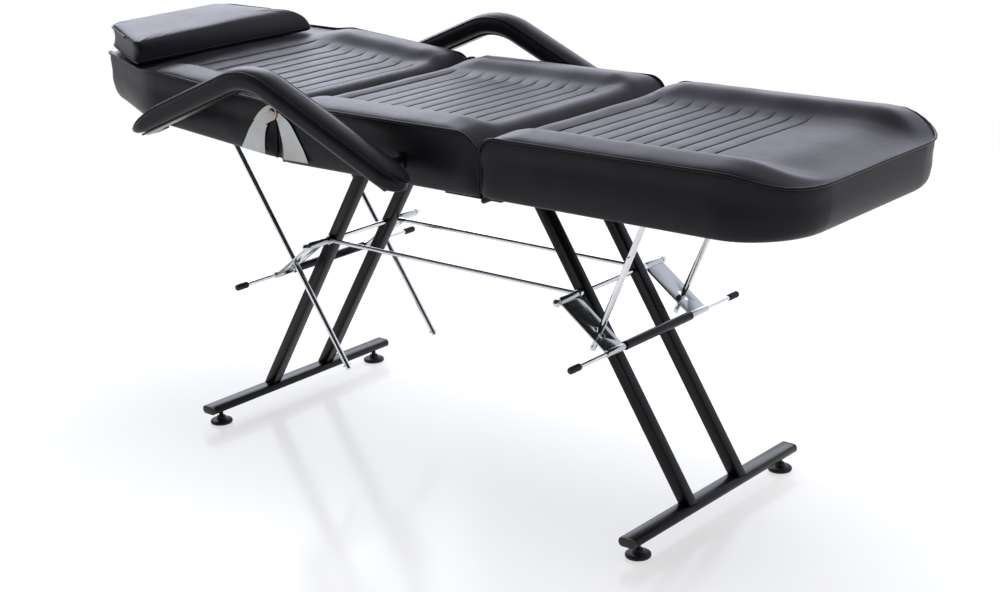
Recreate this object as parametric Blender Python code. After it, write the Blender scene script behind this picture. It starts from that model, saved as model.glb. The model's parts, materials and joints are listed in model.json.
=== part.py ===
import math

import bmesh
import bpy
from mathutils import Matrix, Vector

# Beauty chair lying nearly flat: three padded sections on a splayed steel frame.
# Metres. X runs from the head end (-) to the foot end (+), Z is up, the floor is Z = 0.
# The sitter's right side is -Y.

# Overall
cushion_width = 0.600
bed_height = 0.765
backrest_tilt = math.radians(5.0)
backrest_lowering = math.radians(5.0)
backrest_raising = math.radians(48.0)
fit_gap = 0.0003
running_gap = 0.0005
cut_overrun = 0.010

# Cushions and their boards
seam_gap = 0.003
seat_length = 0.524
legrest_length = 0.648
backrest_length = 0.598
seat_pad_thickness = 0.108
legrest_pad_thickness = 0.103
backrest_pad_thickness = 0.100
pad_side_draw = 0.003
pad_widest_share = 0.10
pad_bottom_radius = 0.012
pad_corner_radius = 0.030
legrest_corner_radius = 0.138
legrest_end_drop = 0.027
legrest_end_slope = 0.130
legrest_end_draw = 0.012
headrest_corner_radius = 0.026
headrest_drop = 0.008
headrest_bottom_draw = 0.016
seam_roll_radius = 0.045
head_roll_radius = 0.012
bolster_rise = 0.014
middle_scoop = 0.012
channel_depth = 0.004
channel_pitch = 0.0375
seat_channel_start = 0.060
seat_plain_length = 0.075
legrest_channel_start = 0.0675
legrest_plain_length = 0.225
backrest_channel_start = 0.061
taper_length = 0.235
taper_inset = 0.062
board_thickness = 0.012
board_inset = 0.012
backrest_edge_rise = 0.0125
hinge_drop = 0.015

# Head pillow
pillow_length = 0.173
pillow_foot_half_width = 0.262
pillow_head_half_width = 0.190
pillow_thickness = 0.050
pillow_foot_fall = 0.006
pillow_foot_slope = 0.034
pillow_far_draw = 0.060
pillow_corner_radius = 0.024
pillow_head_inset = 0.002
pillow_offset = 0.036

# Under-frame
base_spread = 0.5725
base_bar_length = 0.558
base_bar_width = 0.038
base_bar_height = 0.018
base_bar_bottom = 0.030
base_bar_corner = 0.007
bar_wall = 0.0015
cap_thickness = 0.004
cap_plug_length = 0.012
leg_size = 0.025
leg_corner = 0.003
leg_y = 0.0847
cross_member_inset = 0.045
cross_member_width = 0.030
cross_member_height = 0.025
cross_member_length = 0.420

# Levelling feet
foot_y = 0.2445
foot_pad_radius = 0.0245
foot_pad_height = 0.009
foot_neck_radius = 0.011
foot_stem_radius = 0.005
foot_travel = 0.010
foot_stem_hold = 0.0035

# Rods that tie the legs
crossrod_height = 0.426
crossrod_radius = 0.005
stretcher_radius = 0.0045
eye_radius = 0.0095
eye_width = 0.010
nut_radius = 0.0092
nut_length = 0.008
nut_dome_radius = 0.0068

# Release levers
plate_centre_y = 0.1367
plate_width = 0.056
plate_thickness = 0.003
plate_length = 0.137
plate_slope = math.radians(36.5)
plate_slot_reach = 0.0914
knuckle_wall = 0.0025
release_rod_radius = 0.004
release_rod_half = 0.270
release_tube_radius = 0.009
grip_radius = 0.0088
grip_length = 0.036
grip_cover = 0.030

# Prop rods and their mounts
prop_radius = 0.006
prop_pivot_drop = 0.014
prop_eye_radius = 0.009
prop_eye_width = 0.0125
prop_pin_radius = 0.004
head_prop_reach = 0.3343
head_prop_length = 0.610
foot_prop_reach = 0.2665
foot_prop_length = 0.324
prop_end_pin_inset = 0.010
prop_pin_half = 0.011
cross_pin_radius = 0.002
foot_stop_reach = 0.106
mount_strip_width = 0.044
mount_strip_thickness = 0.003
mount_ear_thickness = 0.004
head_slot_play = 0.0065
foot_slot_play = 0.0068

# Side hinges of the backrest
hinge_leaf_thickness = 0.0025
hinge_eye_radius = 0.0125
hinge_pin_radius = 0.005
hinge_head_radius = 0.009
hinge_head_thickness = 0.003
hinge_leaf_reach = 0.0985
hinge_leaf_height = 0.096

# Strap hinge under the seat and the legrest
strap_half_width = 0.285
strap_thickness = 0.003
strap_seat_reach = 0.092
strap_legrest_reach = 0.044
strap_barrel_radius = 0.0055
strap_pin_radius = 0.0028
strap_knuckle_length = 0.120

# Armrests
armrest_y = 0.370
armrest_width = 0.060
armrest_thickness = 0.043
armrest_pivot_inset = 0.183
armrest_pivot_rise = 0.038
armrest_pivot_depth = 0.0046
armrest_link_depth = 0.0054
armrest_head_overhang = 0.035
armrest_foot_overhang = 0.078
armrest_head_slope = math.radians(22.0)
armrest_foot_slope = math.radians(24.0)
armrest_bend_radius = 0.150
armrest_end_length = 0.055
armrest_rail_inset = 0.032
armrest_rail_width = 0.030
armrest_rail_thickness = 0.004
armrest_ear_thickness = 0.004
armrest_ear_clearance = 0.0045
armrest_ear_radius = 0.013
armrest_tab_half = 0.018
armrest_stud_radius = 0.005
armrest_stud_head_radius = 0.0075
armrest_stud_head_thickness = 0.003
armrest_bracket_thickness = 0.004
armrest_bracket_width = 0.022
armrest_bracket_height = 0.030
link_reach = 0.3114
link_drop = 0.0770
link_slot_play = 0.002

# Places that follow from the sizes above
backrest_rim_drop = headrest_drop + head_roll_radius
backrest_end_z = (backrest_edge_rise - backrest_rim_drop
                  - (backrest_pad_thickness - backrest_rim_drop) * pad_widest_share)
backrest_reach = backrest_length + seam_gap / 2
backrest_span = backrest_reach * math.cos(backrest_tilt) - backrest_end_z * math.sin(backrest_tilt)
overall_length = backrest_span + seam_gap / 2 + seat_length + seam_gap + legrest_length
foot_end_x = overall_length / 2
legrest_start_x = foot_end_x - legrest_length
seat_end_x = legrest_start_x - seam_gap
seat_start_x = seat_end_x - seat_length
frame_centre_x = (seat_start_x + seat_end_x) / 2
hinge_x = seat_start_x - seam_gap / 2
hinge_z = bed_height - hinge_drop
half_width = cushion_width / 2
seat_bottom = bed_height - seat_pad_thickness
board_top = seat_bottom - fit_gap
board_bottom = board_top - board_thickness
legrest_top = seat_bottom + legrest_pad_thickness
backrest_bottom = backrest_edge_rise - backrest_pad_thickness
backrest_board_bottom = backrest_bottom - fit_gap - board_thickness
leg_top_spread = seat_length / 2 - cross_member_inset
cross_member_top = board_bottom - fit_gap
cross_member_bottom = cross_member_top - cross_member_height
base_bar_top = base_bar_bottom + base_bar_height
leg_low = base_bar_top + fit_gap
leg_high = cross_member_bottom - fit_gap
leg_lean = (base_spread - leg_top_spread) / (leg_high - leg_low)
crossrod_spread = base_spread - leg_lean * (crossrod_height - leg_low)
plate_inner_y = plate_centre_y - plate_width / 2
plate_outer_y = plate_centre_y + plate_width / 2
stretcher_y = leg_y + leg_size / 2 + fit_gap + eye_width / 2
pillow_zone = pillow_length + pillow_head_inset
seat_channel_end = seat_length - seat_plain_length
legrest_channel_end = legrest_length - legrest_plain_length
backrest_channel_end = backrest_length - taper_length
strap_pivot_z = board_bottom - fit_gap - strap_barrel_radius
strap_pivot_x = seat_end_x + seam_gap / 2
armrest_pivot_x = seat_end_x - armrest_pivot_inset
armrest_pivot_z = seat_bottom + armrest_pivot_rise
armrest_ear_outer = armrest_y - armrest_width / 2 - armrest_ear_clearance
armrest_ear_inner = armrest_ear_outer - armrest_ear_thickness
armrest_rail_drop = armrest_thickness / 2 + fit_gap + armrest_rail_thickness / 2
head_prop_z = backrest_board_bottom - fit_gap - mount_strip_thickness - prop_pivot_drop
foot_prop_z = board_bottom - fit_gap - mount_strip_thickness - prop_pivot_drop

# Shares of the pads' outlines and sections, chosen by hand
pad_column_shares = (0.0, 0.26, 0.50, 0.64, 0.74, 0.84, 0.93, 1.0)
scoop_shares = (0.45, 0.80)
channel_fade_shares = (0.52, 0.62)
bolster_start_share = 0.62
taper_bend_share = 0.12
side_ring_shares = ((pad_widest_share, 0.0), (0.45, 1.0), (0.86, 0.0))
pillow_ring_shares = ((0.0, 0.955), (0.12, 1.0), (0.5, 0.985), (0.86, 1.0), (0.96, 0.97), (1.0, 0.86))
seat_leaf_shares = ((-0.06, -0.14), (0.235, -0.24), (0.24, -0.62), (0.21, -1.0), (0.94, -0.985),
                    (0.775, -0.56), (0.52, -0.215), (0.285, 0.02))
back_tab_shares = ((-0.23, -0.338), (-0.51, -0.217), (-0.30, 0.015))
back_web_shares = ((-0.235, -0.301), (-0.259, -0.359), (-0.505, -0.253), (-0.480, -0.195))
back_leaf_shares = ((-0.23, -0.338), (-0.30, -0.62), (-0.32, -1.0), (-1.0, -0.915), (-0.76, -0.55),
                    (-0.51, -0.217))
dome_shares = ((1.0, 0.2), (0.82, 0.7), (0.4, 1.0))
grip_shares = ((0.9, 0.0), (1.0, 0.08), (1.0, 0.85), (0.7, 1.0))
armrest_tip_low_share = 0.20
armrest_tip_high_share = 0.70
armrest_end_shares = (0.03, 0.16, 0.40, 0.70, 1.0)
armrest_section_shares = ((-0.5, -0.5), (-0.5, -0.05), (-0.46, 0.22), (-0.34, 0.42), (-0.14, 0.5),
                          (0.14, 0.5), (0.34, 0.42), (0.46, 0.22), (0.5, -0.05), (0.5, -0.5))


def make_material(name, colour, roughness, metallic):
    material = bpy.data.materials.new(name)
    material.use_nodes = True
    shader = material.node_tree.nodes["Principled BSDF"]
    shader.inputs["Base Color"].default_value = (*colour, 1.0)
    shader.inputs["Roughness"].default_value = roughness
    shader.inputs["Metallic"].default_value = metallic
    material.diffuse_color = (*colour, 1.0)
    return material


def make_object(name, mesh_builder, material, parent=None):
    mesh_builder.normal_update()
    bmesh.ops.recalc_face_normals(mesh_builder, faces=mesh_builder.faces)
    mesh = bpy.data.meshes.new(name)
    mesh_builder.to_mesh(mesh)
    mesh_builder.free()
    mesh.shade_smooth()
    mesh.set_sharp_from_angle(angle=math.radians(35.0))
    piece = bpy.data.objects.new(name, mesh)
    bpy.context.collection.objects.link(piece)
    piece.data.materials.append(material)
    piece.parent = parent
    return piece


def make_pivot(name, location, tilt=0.0):
    pivot = bpy.data.objects.new(name, None)
    pivot.empty_display_size = hinge_leaf_reach
    pivot.location = location
    pivot.rotation_euler = (0.0, tilt, 0.0)
    bpy.context.collection.objects.link(pivot)
    return pivot


def combine(piece, tool, operation):
    # Apply a Boolean and drop its tool
    modifier = piece.modifiers.new(operation.title(), "BOOLEAN")
    modifier.operation = operation
    modifier.object = tool
    bpy.context.view_layer.update()
    graph = bpy.context.evaluated_depsgraph_get()
    result = bpy.data.meshes.new_from_object(piece.evaluated_get(graph))
    piece.modifiers.clear()
    piece.data = result
    bpy.data.objects.remove(tool)
    result.shade_smooth()
    result.set_sharp_from_angle(angle=math.radians(35.0))
    return piece


def fuse(piece, tool):
    return combine(piece, tool, "UNION")


def cut(piece, tool):
    return combine(piece, tool, "DIFFERENCE")


def loft(loops):
    # Skin a list of equal loops and close both ends
    builder = bmesh.new()
    rings = [[builder.verts.new(point) for point in loop] for loop in loops]
    count = len(rings[0])
    for ring, following in zip(rings, rings[1:]):
        for i in range(count):
            j = (i + 1) % count
            builder.faces.new((ring[i], ring[j], following[j], following[i]))
    builder.faces.new(list(reversed(rings[0])))
    builder.faces.new(rings[-1])
    return builder


def rounded_rectangle(width, height, radius, steps=2):
    points = []
    corners = ((1, 1, 0.0), (-1, 1, 90.0), (-1, -1, 180.0), (1, -1, 270.0))
    for sign_x, sign_y, start in corners:
        centre_x = sign_x * (width / 2 - radius)
        centre_y = sign_y * (height / 2 - radius)
        for step in range(steps + 1):
            angle = math.radians(start + 90.0 * step / steps)
            points.append((centre_x + radius * math.cos(angle), centre_y + radius * math.sin(angle)))
    return points


def circle_points(radius, count):
    return [(radius * math.cos(2 * math.pi * i / count), radius * math.sin(2 * math.pi * i / count))
            for i in range(count)]


def box(low, high):
    x0, y0, z0 = low
    x1, y1, z1 = high
    base = ((x0, y0), (x1, y0), (x1, y1), (x0, y1))
    return loft([[(x, y, z) for x, y in base] for z in (z0, z1)])


def side_prism(outline, y0, y1):
    # Extrude an outline drawn in X and Z along Y
    return loft([[(x, y, z) for x, z in outline] for y in (y0, y1)])


def side_cylinder(centre, radius, y0, y1, count=12):
    x, z = centre
    return side_prism([(x + a, z + b) for a, b in circle_points(radius, count)], y0, y1)


def turned(profile, count=12):
    # Turn (radius, height) pairs about Z, closing each end with a flat face
    return loft([[(x, y, height) for x, y in circle_points(radius, count)] for radius, height in profile])


def place_along(builder, start, direction):
    # Move a piece turned about Z so that it starts at a point and follows a direction
    turn = Vector((0.0, 0.0, 1.0)).rotation_difference(Vector(direction)).to_matrix().to_4x4()
    bmesh.ops.transform(builder, matrix=Matrix.Translation(start) @ turn, verts=builder.verts)
    return builder


def corner_inset(distance, radius):
    # How far a rounded corner draws in from its side at a distance from the end
    if distance >= radius:
        return 0.0
    along = radius - distance
    return radius - math.sqrt(max(radius * radius - along * along, 0.0))


def corner_stations(radius, steps):
    return [radius * (1.0 - math.cos(math.pi / 2 * step / steps)) for step in range(steps + 1)]


def channel_count(start, length):
    return int((length - start) / channel_pitch) + 1


def smooth_bump(value, low, high):
    # Rises from 0 at low to 1 half way and falls to 0 at high
    if value <= low or value >= high:
        return 0.0
    return math.sin(math.pi * (value - low) / (high - low)) ** 2


def smooth_step(value, low, high):
    share = min(max((value - low) / (high - low), 0.0), 1.0)
    return share * share * (3.0 - 2.0 * share)


def channel_stations(start, length):
    # Crest and groove of each sewn channel that a length holds, measured from the section's seam end
    stations = []
    count = channel_count(start, length)
    for i in range(count):
        groove = start + i * channel_pitch
        stations += [groove - channel_pitch / 2, groove]
    stations.append(start + (count - 0.5) * channel_pitch)
    return stations


def pad_builder(length, distances, half_at, edge_at, bolster_at, crown_at, end_draw, end_span,
                channel_start, channel_end, thickness):
    # A section's pad from its seam end at X = 0 to X = length, its piping at Z = 0
    grooves = [channel_start + i * channel_pitch for i in range(channel_count(channel_start, channel_end))]
    shares = [-s for s in reversed(pad_column_shares[1:])] + list(pad_column_shares)
    builder = bmesh.new()
    rows = []
    for distance in distances:
        row = []
        for share in shares:
            across = abs(share)
            bolster = smooth_bump(across, bolster_start_share, 1.0) * bolster_rise
            scoop = (1.0 - smooth_step(across, *scoop_shares)) * middle_scoop
            depth = 0.0
            if any(abs(distance - groove) < channel_pitch / 100 for groove in grooves):
                depth = channel_depth * (1.0 - smooth_step(across, *channel_fade_shares))
            crown = crown_at(distance) * (1.0 - across * across)
            height = edge_at(distance) + (bolster - scoop) * bolster_at(distance) + crown - depth
            row.append(builder.verts.new((distance, share * half_at(distance), height)))
        rows.append(row)
    for row, following in zip(rows, rows[1:]):
        for j in range(len(shares) - 1):
            builder.faces.new((row[j], following[j], following[j + 1], row[j + 1]))
    rim = [row[0] for row in rows]
    rim += rows[-1][1:]
    rim += [row[-1] for row in reversed(rows[:-1])]
    rim += list(reversed(rows[0][1:-1]))
    low = -thickness
    previous = rim
    for drop_share, draw_share in side_ring_shares + ((1.0, 0.0),):
        ring = []
        for i, vertex in enumerate(rim):
            before = rim[i - 1].co
            after = rim[(i + 1) % len(rim)].co
            tangent = Vector((after.x - before.x, after.y - before.y)).normalized()
            inward = Vector((-tangent.y, tangent.x))
            draw = draw_share * pad_side_draw
            if drop_share == 1.0:
                draw = pad_bottom_radius / 2
            end_share = smooth_step(vertex.co.x, length - end_span, length)
            draw += end_draw * end_share * max(drop_share - 0.5, 0.0) * 2
            height = vertex.co.z + (low - vertex.co.z) * drop_share
            moved = vertex.co.xy + inward * draw
            ring.append(builder.verts.new((moved.x, moved.y, height)))
        for i in range(len(rim)):
            j = (i + 1) % len(rim)
            builder.faces.new((previous[j], previous[i], ring[i], ring[j]))
        previous = ring
    builder.faces.new(list(reversed(previous)))
    return builder


def seam_roll(distance, radius):
    # How far the top rolls down towards a seam
    return corner_inset(distance, radius)


def make_seat(materials):
    roll = corner_stations(seam_roll_radius, 3)
    distances = roll[:-1] + channel_stations(seat_channel_start, seat_channel_end)
    distances += [seat_length - d for d in reversed(roll)]
    pad = pad_builder(
        seat_length,
        distances,
        lambda d: half_width - corner_inset(d, pad_corner_radius) / 3
        - corner_inset(seat_length - d, pad_corner_radius) / 3,
        lambda d: -seam_roll(d, seam_roll_radius) - seam_roll(seat_length - d, seam_roll_radius),
        lambda d: smooth_step(min(d, seat_length - d), 0.0, 2 * seam_roll_radius),
        lambda d: 0.0,
        0.0,
        seam_roll_radius,
        seat_channel_start,
        seat_channel_end,
        seat_pad_thickness,
    )
    cushion = make_object("seat_cushion", pad, materials["vinyl"])
    cushion.location = (seat_start_x, 0.0, bed_height)
    board = box((seat_start_x + board_inset, -half_width + board_inset, board_bottom),
                (seat_end_x - board_inset / 4, half_width - board_inset, board_top))
    make_object("seat_board", board, materials["board"])


def make_legrest(materials, pivot):
    roll = corner_stations(seam_roll_radius, 3)
    corner = corner_stations(legrest_corner_radius, 6)
    distances = roll[:-1] + channel_stations(legrest_channel_start, legrest_channel_end)
    distances += [legrest_length - d for d in reversed(corner)]
    pad = pad_builder(
        legrest_length,
        distances,
        lambda d: half_width - corner_inset(d, pad_corner_radius) / 3
        - corner_inset(legrest_length - d, legrest_corner_radius),
        lambda d: -seam_roll(d, seam_roll_radius)
        - legrest_end_drop * smooth_step(d, legrest_length - legrest_end_slope, legrest_length),
        lambda d: smooth_step(d, 0.0, 2 * seam_roll_radius)
        * smooth_step(legrest_length - d, 0.0, legrest_length * 0.6),
        lambda d: middle_scoop / 3 * smooth_step(d, legrest_length / 2, legrest_length),
        legrest_end_draw,
        legrest_corner_radius,
        legrest_channel_start,
        legrest_channel_end,
        legrest_pad_thickness,
    )
    cushion = make_object("legrest_cushion", pad, materials["vinyl"], pivot)
    start_x = legrest_start_x - strap_pivot_x
    cushion.location = (start_x, 0.0, legrest_top - strap_pivot_z)
    outline = []
    board_length = legrest_length - board_inset - legrest_end_draw
    for d in [0.0] + [board_length - d for d in reversed(corner_stations(legrest_corner_radius, 4))]:
        half = half_width - board_inset - corner_inset(board_length - d, legrest_corner_radius)
        outline.append((start_x + d, half))
    outline = [(x + board_inset / 4 * (1 - i), y) for i, (x, y) in enumerate(outline) if i == 0] + outline[1:]
    mirrored = [(x, -y) for x, y in reversed(outline)]
    low = board_bottom - strap_pivot_z
    high = board_top - strap_pivot_z
    board = loft([[(x, y, z) for x, y in outline + mirrored] for z in (low, high)])
    make_object("legrest_board", board, materials["board"], pivot)


def backrest_half(distance):
    # Straight sides that bend softly into the headrest's taper
    from_head = backrest_length - distance
    along = max(taper_length - from_head, 0.0) / taper_length
    bend = taper_bend_share
    inset = along * along / (4 * bend) if along < 2 * bend else along - bend
    return (half_width - taper_inset * inset / (1.0 - bend) - corner_inset(from_head, headrest_corner_radius)
            - corner_inset(distance, pad_corner_radius) / 3)


def mirror_in_x(builder):
    bmesh.ops.transform(builder, matrix=Matrix.Diagonal((-1.0, 1.0, 1.0, 1.0)), verts=builder.verts)
    return builder


def headrest_share(distance):
    # How far the piping has dropped towards the headrest
    return 1.0 - smooth_step(backrest_length - distance, pillow_zone, taper_length)


def make_backrest(materials, pivot):
    roll = corner_stations(seam_roll_radius, 3)
    corner = corner_stations(headrest_corner_radius, 4)
    distances = roll[:-1] + channel_stations(backrest_channel_start, backrest_channel_end)
    distances += [backrest_length - d for d in (taper_length, pillow_zone, taper_length / 2)]
    distances += [backrest_length - d for d in reversed(corner)]
    pad = pad_builder(
        backrest_length,
        sorted(distances),
        backrest_half,
        lambda d: -seam_roll(d, seam_roll_radius) - seam_roll(backrest_length - d, head_roll_radius)
        - headrest_drop * headrest_share(d),
        lambda d: smooth_step(d, 0.0, 2 * seam_roll_radius)
        * smooth_step(backrest_length - d, pillow_zone, pillow_zone + taper_length / 2),
        lambda d: headrest_drop * headrest_share(d),
        headrest_bottom_draw,
        taper_length,
        backrest_channel_start,
        backrest_channel_end,
        backrest_pad_thickness,
    )
    cushion = make_object("backrest_cushion", mirror_in_x(pad), materials["vinyl"], pivot)
    cushion.location = (-seam_gap / 2, 0.0, backrest_edge_rise)
    outline = [(-seam_gap / 2 - board_inset / 4, half_width - board_inset)]
    for from_head in (taper_length, pillow_zone, headrest_corner_radius + headrest_bottom_draw):
        distance = backrest_length - from_head
        end_share = smooth_step(distance, backrest_length - taper_length, backrest_length)
        half = backrest_half(distance) - board_inset - headrest_bottom_draw * end_share
        outline.append((-seam_gap / 2 - distance, half))
    mirrored = [(x, -y) for x, y in reversed(outline)]
    board = loft([[(x, y, z) for x, y in outline + mirrored]
                  for z in (backrest_board_bottom, backrest_bottom - fit_gap)])
    make_object("backrest_board", board, materials["board"], pivot)


def make_pillow(materials, pivot):
    # Trapezoid whose left side and foot edge slope more than its right side
    steps = corner_stations(pillow_corner_radius, 3)
    stations = steps + [pillow_length / 2] + [pillow_length - d for d in reversed(steps)]

    def half_at(d):
        base = pillow_head_half_width + (pillow_foot_half_width - pillow_head_half_width) * d / pillow_length
        base -= corner_inset(pillow_length - d, pillow_corner_radius) / 2
        return base - corner_inset(d, pillow_corner_radius)

    plan = [(d, -half_at(d)) for d in stations] + [(d, half_at(d)) for d in reversed(stations)]
    middle = pillow_length / 2
    loops = []
    for height_share, size_share in pillow_ring_shares:
        loop = []
        for x, y in plan:
            along = x / pillow_length
            across = (y / pillow_foot_half_width + 1.0) / 2
            height = (pillow_thickness - pillow_foot_fall * along) * height_share
            lean = pillow_foot_slope * height_share * along ** 4 * across
            draw = pillow_far_draw * height_share * across ** 3
            loop.append((middle + (x - middle) * size_share - lean, y * size_share - draw, height))
        loops.append(loop)
    pillow = make_object("head_pillow", loft(loops), materials["vinyl"], pivot)
    pillow.location = (-seam_gap / 2 - backrest_length + pillow_head_inset, -pillow_offset,
                       backrest_edge_rise + fit_gap)


def make_base(end, sign, materials):
    x = frame_centre_x + sign * base_spread
    body_half = base_bar_length / 2 - cap_thickness - fit_gap
    outer = [(x + a, base_bar_bottom + base_bar_height / 2 + b)
             for a, b in rounded_rectangle(base_bar_width, base_bar_height, base_bar_corner)]
    inner = [(x + a, base_bar_bottom + base_bar_height / 2 + b)
             for a, b in rounded_rectangle(base_bar_width - 2 * bar_wall, base_bar_height - 2 * bar_wall,
                                           base_bar_corner - bar_wall)]
    bar = make_object(end + "_base_bar", side_prism(outer, -body_half, body_half), materials["black_steel"])
    cut(bar, make_object("bore", side_prism(inner, -body_half - cut_overrun, body_half + cut_overrun),
                         materials["black_steel"]))
    for side in (-1, 1):
        hole = turned([(foot_stem_radius + running_gap, base_bar_bottom - cut_overrun / 2),
                       (foot_stem_radius + running_gap, base_bar_bottom + base_bar_height / 2)])
        bmesh.ops.translate(hole, vec=(x, side * foot_y, 0.0), verts=hole.verts)
        cut(bar, make_object("hole", hole, materials["black_steel"]))
    for name, side in (("right", -1), ("left", 1)):
        plug = [(x + a, base_bar_bottom + base_bar_height / 2 + b)
                for a, b in rounded_rectangle(base_bar_width - 2 * (bar_wall + fit_gap),
                                              base_bar_height - 2 * (bar_wall + fit_gap),
                                              base_bar_corner - bar_wall - fit_gap)]
        face = side * base_bar_length / 2
        seat = side * (body_half + fit_gap)
        cap = make_object(end + "_" + name + "_end_cap", side_prism(outer, seat, face),
                          materials["black_plastic"])
        tongue = side_prism(plug, seat - side * cap_plug_length, (seat + face) / 2)
        fuse(cap, make_object("tongue", tongue, materials["black_plastic"]))
        make_foot(end + "_" + name + "_levelling_foot", (x, side * foot_y, 0.0), materials)


def make_foot(name, place, materials):
    stem_top = base_bar_bottom + foot_travel + foot_stem_hold
    profile = [(foot_pad_radius * 0.94, 0.0), (foot_pad_radius, foot_pad_height * 0.2),
               (foot_pad_radius, foot_pad_height * 0.6), (foot_pad_radius * 0.88, foot_pad_height * 0.9),
               (foot_neck_radius, foot_pad_height), (foot_neck_radius * 0.85, foot_pad_height * 1.8),
               (foot_stem_radius, foot_pad_height * 1.9), (foot_stem_radius, stem_top)]
    foot = make_object(name, turned(profile, 20), materials["rubber"])
    foot.location = place


def make_leg(name, sign, side, materials):
    # A slanted square tube, cut level at both ends and drilled for the crossrod
    width = leg_size * math.sqrt(1.0 + leg_lean * leg_lean)
    ends = ((leg_low, base_spread), (leg_high, leg_top_spread))

    def tube(inset, overrun):
        loops = []
        for (z, spread), way in zip(ends, (-1, 1)):
            z += way * overrun
            spread -= way * overrun * leg_lean
            shape = rounded_rectangle(width - 2 * inset, leg_size - 2 * inset,
                                      max(leg_corner - inset, leg_corner / 4))
            loops.append([(frame_centre_x + sign * spread + a, side * leg_y + b, z) for a, b in shape])
        return loft(loops)

    leg = make_object(name, tube(0.0, 0.0), materials["black_steel"])
    cut(leg, make_object("bore", tube(bar_wall, cut_overrun), materials["black_steel"]))
    reach = leg_size / 2 + cut_overrun
    hole = side_cylinder((frame_centre_x + sign * crossrod_spread, crossrod_height),
                         crossrod_radius + fit_gap, side * leg_y - reach, side * leg_y + reach)
    return cut(leg, make_object("hole", hole, materials["black_steel"]))


def make_cross_member(name, sign, materials):
    x = frame_centre_x + sign * leg_top_spread
    z = (cross_member_top + cross_member_bottom) / 2
    half = cross_member_length / 2

    def section(inset):
        shape = rounded_rectangle(cross_member_width - 2 * inset, cross_member_height - 2 * inset,
                                  max(leg_corner - inset, leg_corner / 4))
        return [(x + a, z + b) for a, b in shape]

    member = make_object(name, side_prism(section(0.0), -half, half), materials["black_steel"])
    bore = side_prism(section(bar_wall), -half - cut_overrun, half + cut_overrun)
    cut(member, make_object("bore", bore, materials["black_steel"]))


def make_crossrod(name, sign, materials):
    x = frame_centre_x + sign * crossrod_spread
    z = crossrod_height
    nut_start = plate_outer_y + running_gap
    rod = make_object(name, side_cylinder((x, z), crossrod_radius, -nut_start - nut_length / 2,
                                          nut_start + nut_length / 2), materials["chrome"])
    for side in (-1, 1):
        nut = side_prism([(x + a, z + b) for a, b in circle_points(nut_radius, 6)],
                         side * nut_start, side * (nut_start + nut_length))
        fuse(rod, make_object("nut", nut, materials["chrome"]))
        dome = turned([(nut_dome_radius, -nut_length / 4)]
                      + [(nut_dome_radius * a, nut_dome_radius * b) for a, b in dome_shares])
        place_along(dome, (x, side * (nut_start + nut_length), z), (0.0, side, 0.0))
        fuse(rod, make_object("dome", dome, materials["chrome"]))


def make_stretcher(name, side, materials):
    y = side * stretcher_y
    reach = crossrod_spread - eye_radius / 2
    rod = turned([(stretcher_radius, 0.0), (stretcher_radius, 2 * reach)])
    place_along(rod, (frame_centre_x - reach, y, crossrod_height), (1.0, 0.0, 0.0))
    stretcher = make_object(name, rod, materials["chrome"])
    for sign in (-1, 1):
        centre = (frame_centre_x + sign * crossrod_spread, crossrod_height)
        eye = side_cylinder(centre, eye_radius, y - eye_width / 2, y + eye_width / 2, 16)
        fuse(stretcher, make_object("eye", eye, materials["chrome"]))
        hole = side_cylinder(centre, crossrod_radius + fit_gap, y - eye_width, y + eye_width)
        cut(stretcher, make_object("hole", hole, materials["chrome"]))


def lever_point(sign, along, above=0.0):
    # A place on a release plate, from its crossrod, in the lever's own frame
    return (sign * (along * math.cos(plate_slope) + above * math.sin(plate_slope)),
            -along * math.sin(plate_slope) + above * math.cos(plate_slope))


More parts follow.
